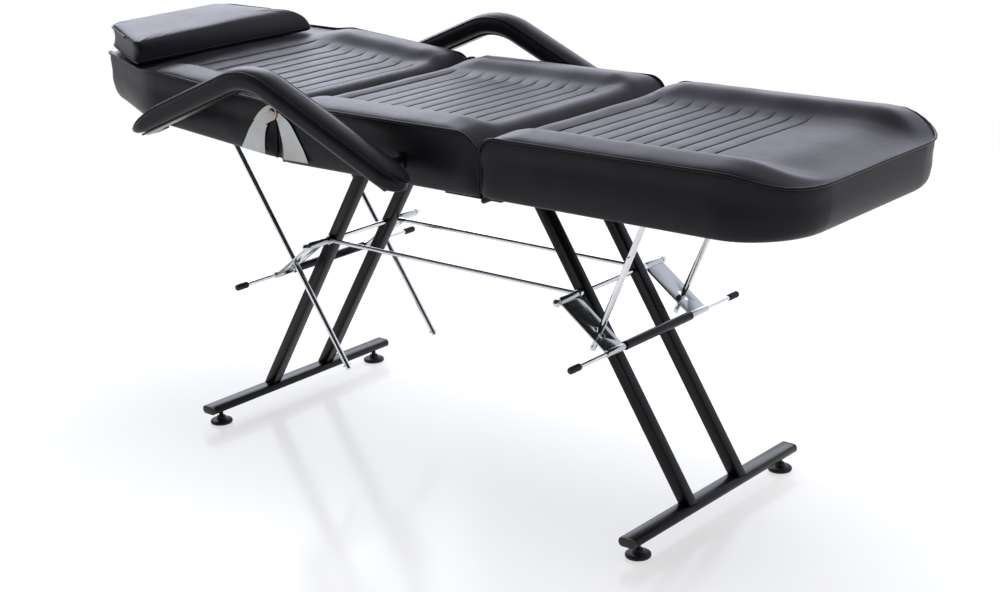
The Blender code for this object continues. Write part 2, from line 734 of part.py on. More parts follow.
def make_release(end, sign, play, materials, pivot):
    knuckle_outer = crossrod_radius + running_gap + knuckle_wall
    foot_outer = release_rod_radius + fit_gap + knuckle_wall
    for name, side in (("right", -1), ("left", 1)):
        low_y, high_y = sorted((side * plate_inner_y, side * plate_outer_y))
        sheet = [lever_point(sign, along, above)
                 for along, above in ((0.0, -plate_thickness / 2), (plate_length, -plate_thickness / 2),
                                      (plate_length, plate_thickness / 2), (0.0, plate_thickness / 2))]
        plate = make_object(end + "_" + name + "_release_plate", side_prism(sheet, low_y, high_y),
                            materials["chrome"], pivot)
        for reach, outer, hole in ((0.0, knuckle_outer, crossrod_radius + running_gap),
                                   (plate_length, foot_outer, release_rod_radius + fit_gap)):
            centre = lever_point(sign, reach)
            fuse(plate, make_object("knuckle", side_cylinder(centre, outer, low_y, high_y, 16),
                                    materials["chrome"], pivot))
            bore = side_cylinder(centre, hole, low_y - cut_overrun, high_y + cut_overrun)
            cut(plate, make_object("hole", bore, materials["chrome"], pivot))
        half_long = prop_radius + running_gap + play
        half_wide = prop_radius + running_gap
        slot = []
        for a, b in rounded_rectangle(2 * half_long, 2 * half_wide, half_wide * 0.9, 3):
            slot.append((plate_slot_reach + a, side * plate_centre_y + b))
        loops = []
        for above in (-plate_thickness, plate_thickness):
            loop = []
            for along, y in slot:
                x, z = lever_point(sign, along, above)
                loop.append((x, y, z))
            loops.append(loop)
        cut(plate, make_object("slot", loft(loops), materials["chrome"], pivot))
    x, z = lever_point(sign, plate_length)
    rod = side_cylinder((x, z), release_rod_radius, -release_rod_half, release_rod_half)
    make_object(end + "_release_rod", rod, materials["chrome"], pivot)
    half = plate_inner_y - running_gap
    tube = make_object(end + "_release_tube", side_cylinder((x, z), release_tube_radius, -half, half, 16),
                       materials["black_steel"], pivot)
    cut(tube, make_object("bore", side_cylinder((x, z), release_rod_radius + fit_gap, -half - cut_overrun,
                                                half + cut_overrun), materials["black_steel"], pivot))
    for name, side in (("right", -1), ("left", 1)):
        bore = release_rod_radius + fit_gap
        start = release_rod_half - grip_cover
        profile = [(grip_radius * a, grip_length * b) for a, b in grip_shares]
        cap = place_along(turned(profile, 14), (x, side * start, z), (0.0, side, 0.0))
        grip = make_object(end + "_" + name + "_grip", cap, materials["rubber"], pivot)
        hollow = side_cylinder((x, z), bore, side * (start - cut_overrun),
                               side * (release_rod_half + fit_gap))
        cut(grip, make_object("bore", hollow, materials["rubber"], pivot))


def make_prop(name, side, length, aim, stop_reach, materials, pivot):
    # A plain rod that hangs from its eye and runs through the release plate
    y = side * plate_centre_y
    direction = Vector((aim[0], 0.0, aim[1])).normalized()
    profile = [(prop_radius, 0.0), (prop_radius, length - prop_radius / 2), (prop_radius * 0.6, length)]
    rod = place_along(turned(profile, 14), (0.0, y, 0.0), direction)
    prop = make_object(name, rod, materials["chrome"], pivot)
    half = prop_eye_width / 2
    fuse(prop, make_object("eye", side_cylinder((0.0, 0.0), prop_eye_radius, y - half, y + half, 16),
                           materials["chrome"], pivot))
    hole_radius = prop_pin_radius + running_gap
    reach = prop_radius + cut_overrun
    hole = side_cylinder((0.0, 0.0), hole_radius, y - reach, y + reach)
    cut(prop, make_object("hole", hole, materials["chrome"], pivot))
    for reach in [length - prop_end_pin_inset] + ([stop_reach] if stop_reach else []):
        place = direction * reach
        pin = side_cylinder((place.x, place.z), cross_pin_radius, y - prop_pin_half, y + prop_pin_half, 8)
        fuse(prop, make_object("pin", pin, materials["chrome"], pivot))


def make_prop_mount(name, pivot_x, pivot_z, materials, pivot):
    # One strip under the board with a pair of ears and a pin for each prop rod
    top = pivot_z + prop_pivot_drop + mount_strip_thickness
    half_strip = plate_centre_y + prop_eye_width / 2 + 3 * mount_ear_thickness
    strip = box((pivot_x - mount_strip_width / 2, -half_strip, top - mount_strip_thickness),
                (pivot_x + mount_strip_width / 2, half_strip, top))
    mount = make_object(name, strip, materials["black_steel"], pivot)
    for side in (-1, 1):
        y = side * plate_centre_y
        for way in (-1, 1):
            near = y + way * (prop_eye_width / 2 + running_gap)
            far = near + way * mount_ear_thickness
            outline = [(pivot_x + prop_eye_radius, top - mount_strip_thickness / 2),
                       (pivot_x - prop_eye_radius, top - mount_strip_thickness / 2)]
            for step in range(7):
                angle = math.pi + math.pi * step / 6
                outline.append((pivot_x + prop_eye_radius * math.cos(angle),
                                pivot_z + prop_eye_radius * math.sin(angle)))
            fuse(mount, make_object("ear", side_prism(outline, near, far), materials["black_steel"], pivot))
        reach = prop_eye_width / 2 + running_gap + mount_ear_thickness * 1.5
        pin = side_cylinder((pivot_x, pivot_z), prop_pin_radius, y - reach, y + reach)
        fuse(mount, make_object("pin", pin, materials["black_steel"], pivot))


def leaf_outline(shares):
    return [(a * hinge_leaf_reach, b * hinge_leaf_height) for a, b in shares]


def eye_arc(start_degrees, end_degrees, steps=7):
    points = []
    for step in range(steps + 1):
        angle = math.radians(start_degrees + (end_degrees - start_degrees) * step / steps)
        points.append((hinge_eye_radius * math.cos(angle), hinge_eye_radius * math.sin(angle)))
    return points


def make_side_hinge(name, side, materials, back_pivot):
    # The seat leaf lies on the cushion and carries the pin; the back leaf steps over it at the eye
    inner = half_width + fit_gap
    middle = inner + hinge_leaf_thickness
    outer = middle + fit_gap
    top = outer + hinge_leaf_thickness
    head = top + fit_gap
    outline = leaf_outline(seat_leaf_shares) + eye_arc(75.0, 235.0)
    seat_leaf = make_object(name + "_seat_hinge_leaf", side_prism(outline, side * inner, side * middle),
                            materials["chrome"])
    pin_end = head + hinge_head_thickness / 2
    pin = side_cylinder((0.0, 0.0), hinge_pin_radius, side * (inner + middle) / 2, side * pin_end)
    fuse(seat_leaf, make_object("pin", pin, materials["chrome"]))
    fuse(seat_leaf, make_object("head", side_cylinder((0.0, 0.0), hinge_head_radius, side * head,
                                                      side * (head + hinge_head_thickness), 16),
                                materials["chrome"]))
    seat_leaf.location = (hinge_x, 0.0, hinge_z)
    tab = leaf_outline(back_tab_shares) + eye_arc(120.0, -75.0)
    back_leaf = make_object(name + "_backrest_hinge_leaf", side_prism(tab, side * outer, side * top),
                            materials["chrome"], back_pivot)
    web = side_prism(leaf_outline(back_web_shares), side * inner, side * top)
    fuse(back_leaf, make_object("web", web, materials["chrome"], back_pivot))
    lower = side_prism(leaf_outline(back_leaf_shares), side * inner, side * middle)
    fuse(back_leaf, make_object("lower", lower, materials["chrome"], back_pivot))
    hole = side_cylinder((0.0, 0.0), hinge_pin_radius + running_gap, side * middle, side * head)
    cut(back_leaf, make_object("hole", hole, materials["chrome"], back_pivot))


def knuckle_outline(way):
    # A barrel with the neck that runs from it into its leaf
    high = strap_barrel_radius - fit_gap
    low = strap_barrel_radius - strap_thickness + fit_gap
    neck = way * 2 * (strap_barrel_radius + running_gap)
    first = math.asin(high / strap_barrel_radius)
    last = 2 * math.pi + math.asin(low / strap_barrel_radius)
    outline = [(neck, low), (neck, high)]
    for step in range(15):
        angle = first + (last - first) * step / 14
        outline.append((way * strap_barrel_radius * math.cos(angle), strap_barrel_radius * math.sin(angle)))
    return outline


def make_strap_hinge(materials, pivot):
    # A wide hinge under the boards: two knuckles and the pin on the seat, one knuckle on the legrest
    high = strap_barrel_radius
    low = high - strap_thickness
    bearing = strap_pin_radius + running_gap
    knuckle_start = strap_half_width - strap_knuckle_length
    stand_off = strap_barrel_radius + running_gap
    # The seat's leaf is notched round the cross-member
    start = -strap_seat_reach
    notch_end = frame_centre_x + leg_top_spread + cross_member_width / 2 + fit_gap - strap_pivot_x
    notch_half = cross_member_length / 2 + fit_gap
    outline = [(start, -strap_half_width), (-stand_off, -strap_half_width), (-stand_off, strap_half_width),
               (start, strap_half_width), (start, notch_half), (notch_end, notch_half),
               (notch_end, -notch_half), (start, -notch_half)]
    plate = loft([[(x, y, z) for x, y in outline] for z in (low, high)])
    seat_leaf = make_object("seat_strap_leaf", plate, materials["black_steel"])
    for side in (-1, 1):
        knuckle = side_prism(knuckle_outline(-1), side * (knuckle_start + running_gap),
                             side * (strap_half_width - fit_gap))
        fuse(seat_leaf, make_object("knuckle", knuckle, materials["black_steel"]))
    reach = knuckle_start + strap_knuckle_length / 4
    pin = side_cylinder((0.0, 0.0), strap_pin_radius, -reach, reach)
    fuse(seat_leaf, make_object("pin", pin, materials["black_steel"]))
    seat_leaf.location = (strap_pivot_x, 0.0, strap_pivot_z)
    flap = box((stand_off, -strap_half_width, low), (strap_legrest_reach, strap_half_width, high))
    leg_leaf = make_object("legrest_strap_leaf", flap, materials["black_steel"], pivot)
    half = knuckle_start - running_gap
    knuckle = side_prism(knuckle_outline(1), -half, half)
    fuse(leg_leaf, make_object("knuckle", knuckle, materials["black_steel"], pivot))
    bore = side_cylinder((0.0, 0.0), bearing, -half - cut_overrun, half + cut_overrun)
    cut(leg_leaf, make_object("bore", bore, materials["black_steel"], pivot))


def from_pivot(place, slope, along, above):
    # A place in X and Z reached along and square to a slope
    return (place[0] + along * math.cos(slope) - above * math.sin(slope),
            place[1] + along * math.sin(slope) + above * math.cos(slope))


def link_place(angle):
    # Where the backrest's stud is, seen from an armrest's pivot, with the backrest at an angle
    x = hinge_x - link_reach * math.cos(angle) - link_drop * math.sin(angle)
    z = hinge_z + link_reach * math.sin(angle) - link_drop * math.cos(angle)
    return (x - armrest_pivot_x, z - armrest_pivot_z)


def armrest_bend():
    # Where a line just above the pivot and one just above the link pin meet, seen from the pivot
    link_x, link_z = link_place(backrest_tilt)
    foot_height = armrest_pivot_depth / math.cos(armrest_foot_slope)
    head_height = link_z - link_x * math.tan(armrest_head_slope)
    head_height += armrest_link_depth / math.cos(armrest_head_slope)
    x = (foot_height - head_height) / (math.tan(armrest_head_slope) + math.tan(armrest_foot_slope))
    return (x, foot_height - x * math.tan(armrest_foot_slope))


def along_from_bend(place, slope):
    bend = armrest_bend()
    return (place[0] - bend[0]) * math.cos(slope) + (place[1] - bend[1]) * math.sin(slope)


def armrest_stations(end_inset, end_shares, end_length):
    # Centre line of a pad from its head end to its foot end: place, slope, and share of the end's length
    bend = armrest_bend()
    link_along = along_from_bend(link_place(backrest_tilt), armrest_head_slope)
    head_arm = armrest_head_overhang - link_along - end_inset
    foot_arm = along_from_bend((0.0, 0.0), -armrest_foot_slope) + armrest_foot_overhang - end_inset
    turn = armrest_head_slope + armrest_foot_slope
    tangent = armrest_bend_radius * math.tan(turn / 2)
    centre = from_pivot(bend, armrest_head_slope, -tangent, -armrest_bend_radius)
    stations = []
    for share in end_shares:
        place = from_pivot(bend, armrest_head_slope, share * end_length - head_arm, 0.0)
        stations.append((place, armrest_head_slope, share))
    middle = -(head_arm + tangent) / 2
    stations.append((from_pivot(bend, armrest_head_slope, middle, 0.0), armrest_head_slope, 1.0))
    for step in range(9):
        slope = armrest_head_slope - turn * step / 8
        stations.append((from_pivot(centre, slope, 0.0, armrest_bend_radius), slope, 1.0))
    middle = (foot_arm + tangent) / 2
    stations.append((from_pivot(bend, -armrest_foot_slope, middle, 0.0), -armrest_foot_slope, 1.0))
    for share in reversed(end_shares):
        place = from_pivot(bend, -armrest_foot_slope, foot_arm - share * end_length, 0.0)
        stations.append((place, -armrest_foot_slope, share))
    return stations


def hull(points):
    # Outline drawn tightly round a set of points
    ordered = sorted(points)
    outline = []
    for run in (ordered, list(reversed(ordered))):
        start = len(outline)
        for point in run:
            while len(outline) - start >= 2:
                (ax, az), (bx, bz) = outline[-2], outline[-1]
                if (bx - ax) * (point[1] - az) - (bz - az) * (point[0] - ax) > 0.0:
                    break
                outline.pop()
            outline.append(point)
        outline.pop()
    return outline


def stadium(centre, slope, half_length, radius, steps=6):
    points = []
    for way, start in ((1, -90.0), (-1, 90.0)):
        for step in range(steps + 1):
            angle = math.radians(start + 180.0 * step / steps)
            points.append(from_pivot(centre, slope, way * half_length + radius * math.cos(angle),
                                     radius * math.sin(angle)))
    return points


def make_armrest(name, side, materials, back_pivot):
    pivot = make_pivot(name + "_armrest_pivot_axis", (armrest_pivot_x, 0.0, armrest_pivot_z))
    y = side * armrest_y
    loops = []
    for place, slope, share in armrest_stations(0.0, armrest_end_shares, armrest_end_length):
        narrowing = math.sqrt(1.0 - (1.0 - share) ** 2)
        loop = []
        for across, above in armrest_section_shares:
            tip_share = armrest_tip_low_share if above < 0.0 else armrest_tip_high_share
            rise = above * armrest_thickness * (tip_share + (1.0 - tip_share) * narrowing)
            x, z = from_pivot(place, slope, 0.0, rise)
            loop.append((x, y + across * armrest_width * narrowing, z))
        loops.append(loop)
    make_object(name + "_armrest_pad", loft(loops), materials["vinyl"], pivot)

    loops = []
    half_rail = armrest_rail_width / 2
    for place, slope, _ in armrest_stations(armrest_rail_inset, (0.0,), 0.0):
        low = from_pivot(place, slope, 0.0, -armrest_rail_drop - armrest_rail_thickness / 2)
        high = from_pivot(place, slope, 0.0, -armrest_rail_drop + armrest_rail_thickness / 2)
        loops.append([(low[0], y - half_rail, low[1]), (high[0], y - half_rail, high[1]),
                      (high[0], y + half_rail, high[1]), (low[0], y + half_rail, low[1])])
    rail = make_object(name + "_armrest_rail", loft(loops), materials["black_steel"], pivot)

    # Ear round the pivot near the foot end, ear with the slot near the head end
    limits = [link_place(backrest_tilt + angle) for angle in
              (-backrest_lowering, 0.0, backrest_raising / 4, backrest_raising / 2, backrest_raising)]
    reaches = [math.hypot(*place) for place in limits]
    rest = link_place(backrest_tilt)
    slot_slope = math.atan2(-rest[1], -rest[0])
    slot_middle = (max(reaches) + min(reaches)) / 2
    slot_centre = from_pivot((0.0, 0.0), slot_slope, -slot_middle, 0.0)
    slot_half = (max(reaches) - min(reaches)) / 2 + link_slot_play
    bend = armrest_bend()
    outer = side * armrest_ear_outer
    inner = side * armrest_ear_inner
    for centre, slope, half_length, hole_radius in (
            ((0.0, 0.0), -armrest_foot_slope, 0.0, armrest_stud_radius + running_gap),
            (slot_centre, armrest_head_slope, slot_half, armrest_stud_radius + link_slot_play / 2)):
        tilt = slot_slope if half_length else slope
        along = along_from_bend(centre, slope)
        foot_low = -armrest_rail_drop - armrest_rail_thickness / 2
        tab_low = foot_low + fit_gap
        tab_high = foot_low + armrest_rail_thickness - fit_gap
        tab_half = armrest_tab_half - fit_gap

        def slanted(a, b):
            return from_pivot(bend, slope, a, b)

        tab = [slanted(along - tab_half, tab_low), slanted(along + tab_half, tab_low),
               slanted(along + tab_half, tab_high), slanted(along - tab_half, tab_high)]
        fuse(rail, make_object("tab", side_prism(tab, (inner + outer) / 2, y - side * half_rail / 2),
                               materials["black_steel"], pivot))
        ear = hull([slanted(along - armrest_tab_half, foot_low), slanted(along + armrest_tab_half, foot_low)]
                   + stadium(centre, tilt, half_length, armrest_ear_radius))
        fuse(rail, make_object("ear", side_prism(ear, inner, outer), materials["black_steel"], pivot))
        slot = stadium(centre, tilt, half_length, hole_radius)
        overrun = side * cut_overrun
        cut(rail, make_object("hole", side_prism(slot, inner - overrun, outer + overrun),
                              materials["black_steel"], pivot))

    seat_bracket = make_stud(name + "_armrest_pivot", side, materials, None)
    seat_bracket.location = (armrest_pivot_x, 0.0, armrest_pivot_z)
    link_bracket = make_stud(name + "_armrest_link_pin", side, materials, back_pivot)
    link_bracket.location = (-link_reach, 0.0, -link_drop)


def make_stud(name, side, materials, parent):
    # A side plate with a shouldered stud that runs through the armrest's ear
    face = side * (half_width + fit_gap)
    back = face + side * armrest_bracket_thickness
    ear = side * armrest_ear_outer
    head = ear + side * fit_gap
    shape = rounded_rectangle(armrest_bracket_width, armrest_bracket_height, armrest_bracket_width / 6)
    stud = make_object(name, side_prism(shape, face, back), materials["chrome"], parent)
    root = face + side * armrest_bracket_thickness / 2
    shoulder = side_cylinder((0.0, 0.0), armrest_stud_head_radius, root,
                             side * (armrest_ear_inner - running_gap), 16)
    fuse(stud, make_object("shoulder", shoulder, materials["chrome"], parent))
    pin = side_cylinder((0.0, 0.0), armrest_stud_radius, root, head + side * armrest_stud_head_thickness / 2)
    fuse(stud, make_object("pin", pin, materials["chrome"], parent))
    cap = side_cylinder((0.0, 0.0), armrest_stud_head_radius, head,
                        head + side * armrest_stud_head_thickness, 16)
    return fuse(stud, make_object("cap", cap, materials["chrome"], parent))


def main():
    for old in list(bpy.data.objects):
        bpy.data.objects.remove(old)
    materials = {
        "vinyl": make_material("black_vinyl", (0.030, 0.029, 0.033), 0.42, 0.0),
        "board": make_material("black_board", (0.020, 0.019, 0.019), 0.75, 0.0),
        "black_steel": make_material("black_steel", (0.022, 0.022, 0.023), 0.45, 0.0),
        "black_plastic": make_material("black_plastic", (0.020, 0.020, 0.021), 0.50, 0.0),
        "rubber": make_material("black_rubber", (0.018, 0.018, 0.018), 0.70, 0.0),
        "chrome": make_material("chrome", (0.78, 0.79, 0.80), 0.10, 1.0),
    }
    back_pivot = make_pivot("backrest_pivot", (hinge_x, 0.0, hinge_z), backrest_tilt)
    legrest_pivot = make_pivot("legrest_pivot", (strap_pivot_x, 0.0, strap_pivot_z))
    make_seat(materials)
    make_backrest(materials, back_pivot)
    make_legrest(materials, legrest_pivot)
    make_pillow(materials, back_pivot)
    for end, sign in (("head", -1), ("foot", 1)):
        make_base(end, sign, materials)
        for name, side in (("right", -1), ("left", 1)):
            make_leg(end + "_" + name + "_leg", sign, side, materials)
        make_cross_member(end + "_cross_member", sign, materials)
        make_crossrod(end + "_crossrod", sign, materials)
    make_stretcher("right_stretcher", -1, materials)
    make_stretcher("left_stretcher", 1, materials)
    for end, sign, play in (("head", -1, head_slot_play), ("foot", 1, foot_slot_play)):
        lever_pivot = make_pivot(end + "_lever_pivot",
                                 (frame_centre_x + sign * crossrod_spread, 0.0, crossrod_height))
        make_release(end, sign, play, materials, lever_pivot)
    make_prop_mount("backrest_prop_mount", -head_prop_reach, head_prop_z, materials, back_pivot)
    make_prop_mount("legrest_prop_mount", foot_prop_reach, foot_prop_z - strap_pivot_z, materials,
                    legrest_pivot)
    make_props(materials, back_pivot)
    for name, side in (("right", -1), ("left", 1)):
        make_side_hinge(name, side, materials, back_pivot)
        make_armrest(name, side, materials, back_pivot)
    make_strap_hinge(materials, legrest_pivot)


def make_props(materials, back_pivot):
    tilt = Matrix.Rotation(backrest_tilt, 3, "Y")
    head_top = Vector((hinge_x, 0.0, hinge_z)) + tilt @ Vector((-head_prop_reach, 0.0, head_prop_z))
    foot_top = Vector((strap_pivot_x + foot_prop_reach, 0.0, foot_prop_z))
    for end, sign, top, length, stop in (("backrest", -1, head_top, head_prop_length, None),
                                         ("legrest", 1, foot_top, foot_prop_length, foot_stop_reach)):
        slot_x, slot_z = lever_point(sign, plate_slot_reach)
        aim = (frame_centre_x + sign * crossrod_spread + slot_x - top.x, crossrod_height + slot_z - top.z)
        pivot = make_pivot(end + "_prop_pivot", top)
        for name, side in (("right", -1), ("left", 1)):
            make_prop(end + "_" + name + "_prop", side, length, aim, stop, materials, pivot)


main()
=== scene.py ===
import json
import math

import bmesh
import bpy
import numpy as np
from mathutils import Matrix, Vector, noise

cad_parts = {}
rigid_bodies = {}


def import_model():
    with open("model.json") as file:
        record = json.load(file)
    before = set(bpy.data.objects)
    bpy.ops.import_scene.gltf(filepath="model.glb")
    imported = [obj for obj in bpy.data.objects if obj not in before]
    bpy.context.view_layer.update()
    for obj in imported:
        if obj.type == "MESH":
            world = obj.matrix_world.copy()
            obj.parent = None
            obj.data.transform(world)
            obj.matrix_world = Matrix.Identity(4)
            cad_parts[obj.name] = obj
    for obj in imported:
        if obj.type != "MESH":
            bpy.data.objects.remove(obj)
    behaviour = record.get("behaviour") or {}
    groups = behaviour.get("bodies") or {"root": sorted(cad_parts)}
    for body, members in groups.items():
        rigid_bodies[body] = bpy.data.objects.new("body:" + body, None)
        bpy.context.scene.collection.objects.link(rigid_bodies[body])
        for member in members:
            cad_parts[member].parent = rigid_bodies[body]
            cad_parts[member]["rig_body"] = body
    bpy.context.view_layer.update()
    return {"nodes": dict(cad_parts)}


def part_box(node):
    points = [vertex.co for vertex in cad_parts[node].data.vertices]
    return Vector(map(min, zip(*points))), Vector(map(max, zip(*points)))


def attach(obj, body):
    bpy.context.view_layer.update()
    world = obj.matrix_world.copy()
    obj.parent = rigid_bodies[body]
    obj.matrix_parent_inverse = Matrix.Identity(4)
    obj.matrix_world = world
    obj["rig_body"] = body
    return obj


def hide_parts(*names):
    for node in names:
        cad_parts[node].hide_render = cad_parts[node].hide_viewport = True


# Beauty chair: vinyl pads, head pillow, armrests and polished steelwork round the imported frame.
# Metres, in the frame's own axes: X from head to foot, Z up, the sitter's right side at -Y.

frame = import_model()
cadNodes = frame["nodes"]
print("frame loaded:", len(cadNodes), "nodes")


# Node trees, with maths on their sockets

class Wire:
    # One output socket; arithmetic on it adds Math nodes
    def __init__(self, work, socket):
        self.work = work
        self.socket = socket

    def calc(self, operation, first, second):
        return self.work.add("ShaderNodeMath", {"operation": operation}, {0: first, 1: second})

    def __add__(self, other):
        return self.calc("ADD", self, other)

    def __sub__(self, other):
        return self.calc("SUBTRACT", self, other)

    def __rsub__(self, other):
        return self.calc("SUBTRACT", other, self)

    def __mul__(self, other):
        return self.calc("MULTIPLY", self, other)

    __radd__ = __add__
    __rmul__ = __mul__

    def between(self, low, high):
        # 0 below low, 1 above high, smooth in between
        return self.work.add("ShaderNodeMapRange", {"interpolation_type": "SMOOTHSTEP"},
                             {"Value": self, "From Min": low, "From Max": high})


class Nodes:
    # A node tree and the one way to add to it
    def __init__(self, tree):
        self.tree = tree

    def fill(self, node, inputs):
        for key, value in inputs.items():
            if isinstance(value, Wire):
                self.tree.links.new(value.socket, node.inputs[key])
            else:
                node.inputs[key].default_value = value

    def add(self, kind, settings=None, inputs=None, output=0):
        node = self.tree.nodes.new(kind)
        for key, value in (settings or {}).items():
            setattr(node, key, value)
        self.fill(node, inputs or {})
        return Wire(self, node.outputs[output])

    def tint(self, share, dark, light):
        return self.add("ShaderNodeMix", {"data_type": "RGBA"}, {0: share, 6: dark, 7: light}, 2)


class Paint(Nodes):
    # A material with its Principled shader and short ways to add patterns
    def __init__(self, name, colour, roughness, finish=None):
        self.material = bpy.data.materials.new(name)
        self.material.use_nodes = True
        super().__init__(self.material.node_tree)
        self.shader = self.tree.nodes["Principled BSDF"]
        self.feed({"Base Color": (*colour, 1.0), "Roughness": roughness, **(finish or {})})
        self.material.diffuse_color = (*colour, 1.0)
        self.material.roughness = roughness

    def feed(self, inputs):
        self.fill(self.shader, inputs)

    def place(self, stretch=None):
        spot = self.add("ShaderNodeTexCoord", output="Object")
        if stretch:
            spot = self.add("ShaderNodeMapping", None, {"Vector": spot, "Scale": stretch})
        return spot

    def cloud(self, scale, detail=3.0, stretch=None):
        return self.add("ShaderNodeTexNoise", None,
                        {"Vector": self.place(stretch), "Scale": scale, "Detail": detail})

    def cells(self, scale, feature="F1"):
        return self.add("ShaderNodeTexVoronoi", {"feature": feature},
                        {"Vector": self.place(), "Scale": scale}, "Distance")

    def relief(self, height, distance):
        self.feed({"Normal": self.add("ShaderNodeBump", None, {"Distance": distance, "Height": height})})


# Materials: patterns take each one's roughness a little up and down from the value given

vinylLook = {
    "finish": {"Specular IOR Level": 0.20, "Specular Tint": (0.96, 0.93, 1.0, 1.0), "Sheen Weight": 0.03,
               "Sheen Roughness": 0.40, "Sheen Tint": (0.80, 0.80, 1.0, 1.0)},
    "broad": 7.0, "mottle": 60.0, "pores": 620.0, "wrinkles": 260.0, "wrinkleWidth": 0.12,
    # paintedFoldShade is how dark the painted shade in the sewn grooves is, as a share of the grey
    "tones": (0.35, 0.68), "lighter": 1.35, "paintedFoldShade": 0.25,
    "broadBlur": 0.10, "mottleBlur": 0.08, "foldBlur": 0.35,
}
steelLook = {"smudges": 9.0, "tones": (0.35, 0.75), "duller": 0.86, "pits": 900.0}
dullLook = {"worn": 22.0, "tones": (0.35, 0.7), "grainBlur": 0.16, "wornBlur": 0.10, "pits": 1.6}


def scaled(colour, factor):
    return tuple(c * factor for c in colour) + (1.0,)


def vinylPaint(name, grey, roughness, grain):
    s = vinylLook
    paint = Paint(name, grey, roughness, s["finish"])
    broad = paint.cloud(s["broad"], 2.0)
    mottle = paint.cloud(s["mottle"], 4.0)
    pores = paint.cells(s["pores"])
    wrinkles = paint.cells(s["wrinkles"], "DISTANCE_TO_EDGE").between(0.0, s["wrinkleWidth"])
    fold = paint.add("ShaderNodeAttribute", {"attribute_name": "fold"}, None, "Fac")
    body = paint.tint((broad * 0.6 + mottle * 0.4).between(*s["tones"]), (*grey, 1.0),
                      scaled(grey, s["lighter"]))
    blur = broad * s["broadBlur"] + mottle * s["mottleBlur"] + fold * s["foldBlur"]
    # Along each sewn line the fold mask darkens the base colour, which is painted shade in the groove, and
    # raises the roughness there
    paint.feed({"Base Color": paint.tint(fold, body, scaled(grey, s["paintedFoldShade"])),
                "Roughness": blur + (roughness - (s["broadBlur"] + s["mottleBlur"]) / 2)})
    paint.relief(pores * 0.35 + wrinkles * 0.35 + mottle * 0.9, grain)
    return paint.material


def steelPaint(name, colour, roughness, finish, blur, scratch, stretch=(1, 1, 1), pits=0.0, depth=0.000002,
               duller=None):
    s = steelLook
    paint = Paint(name, colour, roughness, finish)
    streaks = paint.cloud(scratch, stretch=stretch)
    smudge = paint.cloud(s["smudges"])
    dull = scaled(duller, 1.0) if duller else scaled(colour, s["duller"])
    paint.feed({"Base Color": paint.tint(smudge.between(*s["tones"]), (*colour, 1.0), dull),
                "Roughness": streaks * blur + smudge * blur + (roughness - blur)})
    paint.relief(streaks + paint.cells(s["pits"]) * pits, depth)
    return paint.material


def dullPaint(name, colour, roughness, scale, depth, paler=1.77):
    s = dullLook
    paint = Paint(name, colour, roughness)
    grain = paint.cloud(scale, 4.0)
    worn = paint.cloud(s["worn"])
    tone = (grain * 0.5 + worn * 0.5).between(*s["tones"])
    middle = roughness - (s["grainBlur"] + s["wornBlur"]) / 2
    paint.feed({"Base Color": paint.tint(tone, (*colour, 1.0), scaled(colour, paler)),
                "Roughness": grain * s["grainBlur"] + worn * s["wornBlur"] + middle})
    paint.relief(grain + paint.cells(scale * s["pits"]) * 0.6, depth)
    return paint.material


metal = {"Metallic": 1.0}
lengthways = (1, 1, 0.1)
vinyl = vinylPaint("blackVinyl", (0.0085, 0.0076, 0.0098), 0.40, 0.00010)
weltVinyl = vinylPaint("pipingVinyl", (0.0075, 0.0068, 0.0085), 0.33, 0.00005)
chrome = steelPaint("polishedChrome", (0.80, 0.81, 0.83), 0.10, metal, 0.04, 120.0, (1, 0.2, 1))
mirror = steelPaint("mirrorSteel", (0.56, 0.58, 0.59), 0.13, metal, 0.05, 420.0, lengthways)
leafSteel = steelPaint("hingeSteel", (0.40, 0.43, 0.45), 0.16, metal, 0.06, 420.0, lengthways,
                       depth=0.000003, duller=(0.33, 0.28, 0.25))
powderCoat = steelPaint("powderCoat", (0.005, 0.005, 0.0054), 0.30, {"Specular IOR Level": 0.22}, 0.10,
                        300.0, pits=2.0, depth=0.00002)
staple = steelPaint("stapleWire", (0.62, 0.62, 0.60), 0.28, metal, 0.08, 900.0)
plastic = dullPaint("mouldedPlastic", (0.014, 0.014, 0.015), 0.45, 500.0, 0.00004)
rubber = dullPaint("blackRubber", (0.016, 0.016, 0.016), 0.62, 380.0, 0.00006)
boardCloth = dullPaint("backingCloth", (0.012, 0.012, 0.012), 0.88, 1400.0, 0.00022, 2.32)
thread = dullPaint("sewingThread", (0.010, 0.009, 0.011), 0.75, 2600.0, 0.00008)
print("materials made")


# Shape helpers

sides = (("right", -1), ("left", 1))


def cornerInset(distance, radius):
    # How far a rounded corner stands back, at a distance from its end
    if distance >= radius:
        return 0.0
    along = radius - max(distance, 0.0)
    return radius - math.sqrt(max(radius * radius - along * along, 0.0))


def smoothStep(value, low, high):
    share = min(max((value - low) / (high - low), 0.0), 1.0)
    return share * share * (3.0 - 2.0 * share)


def nearEnd(left, low, high):
    # 1 by the end of a piece, 0 well before it
    return 1.0 - smoothStep(left, low, high)


def dome(radius, base, rise, steps, count):
    return [(radius * math.cos(math.pi / 2 * i / steps), base + rise * math.sin(math.pi / 2 * i / steps))
            for i in range(count)]


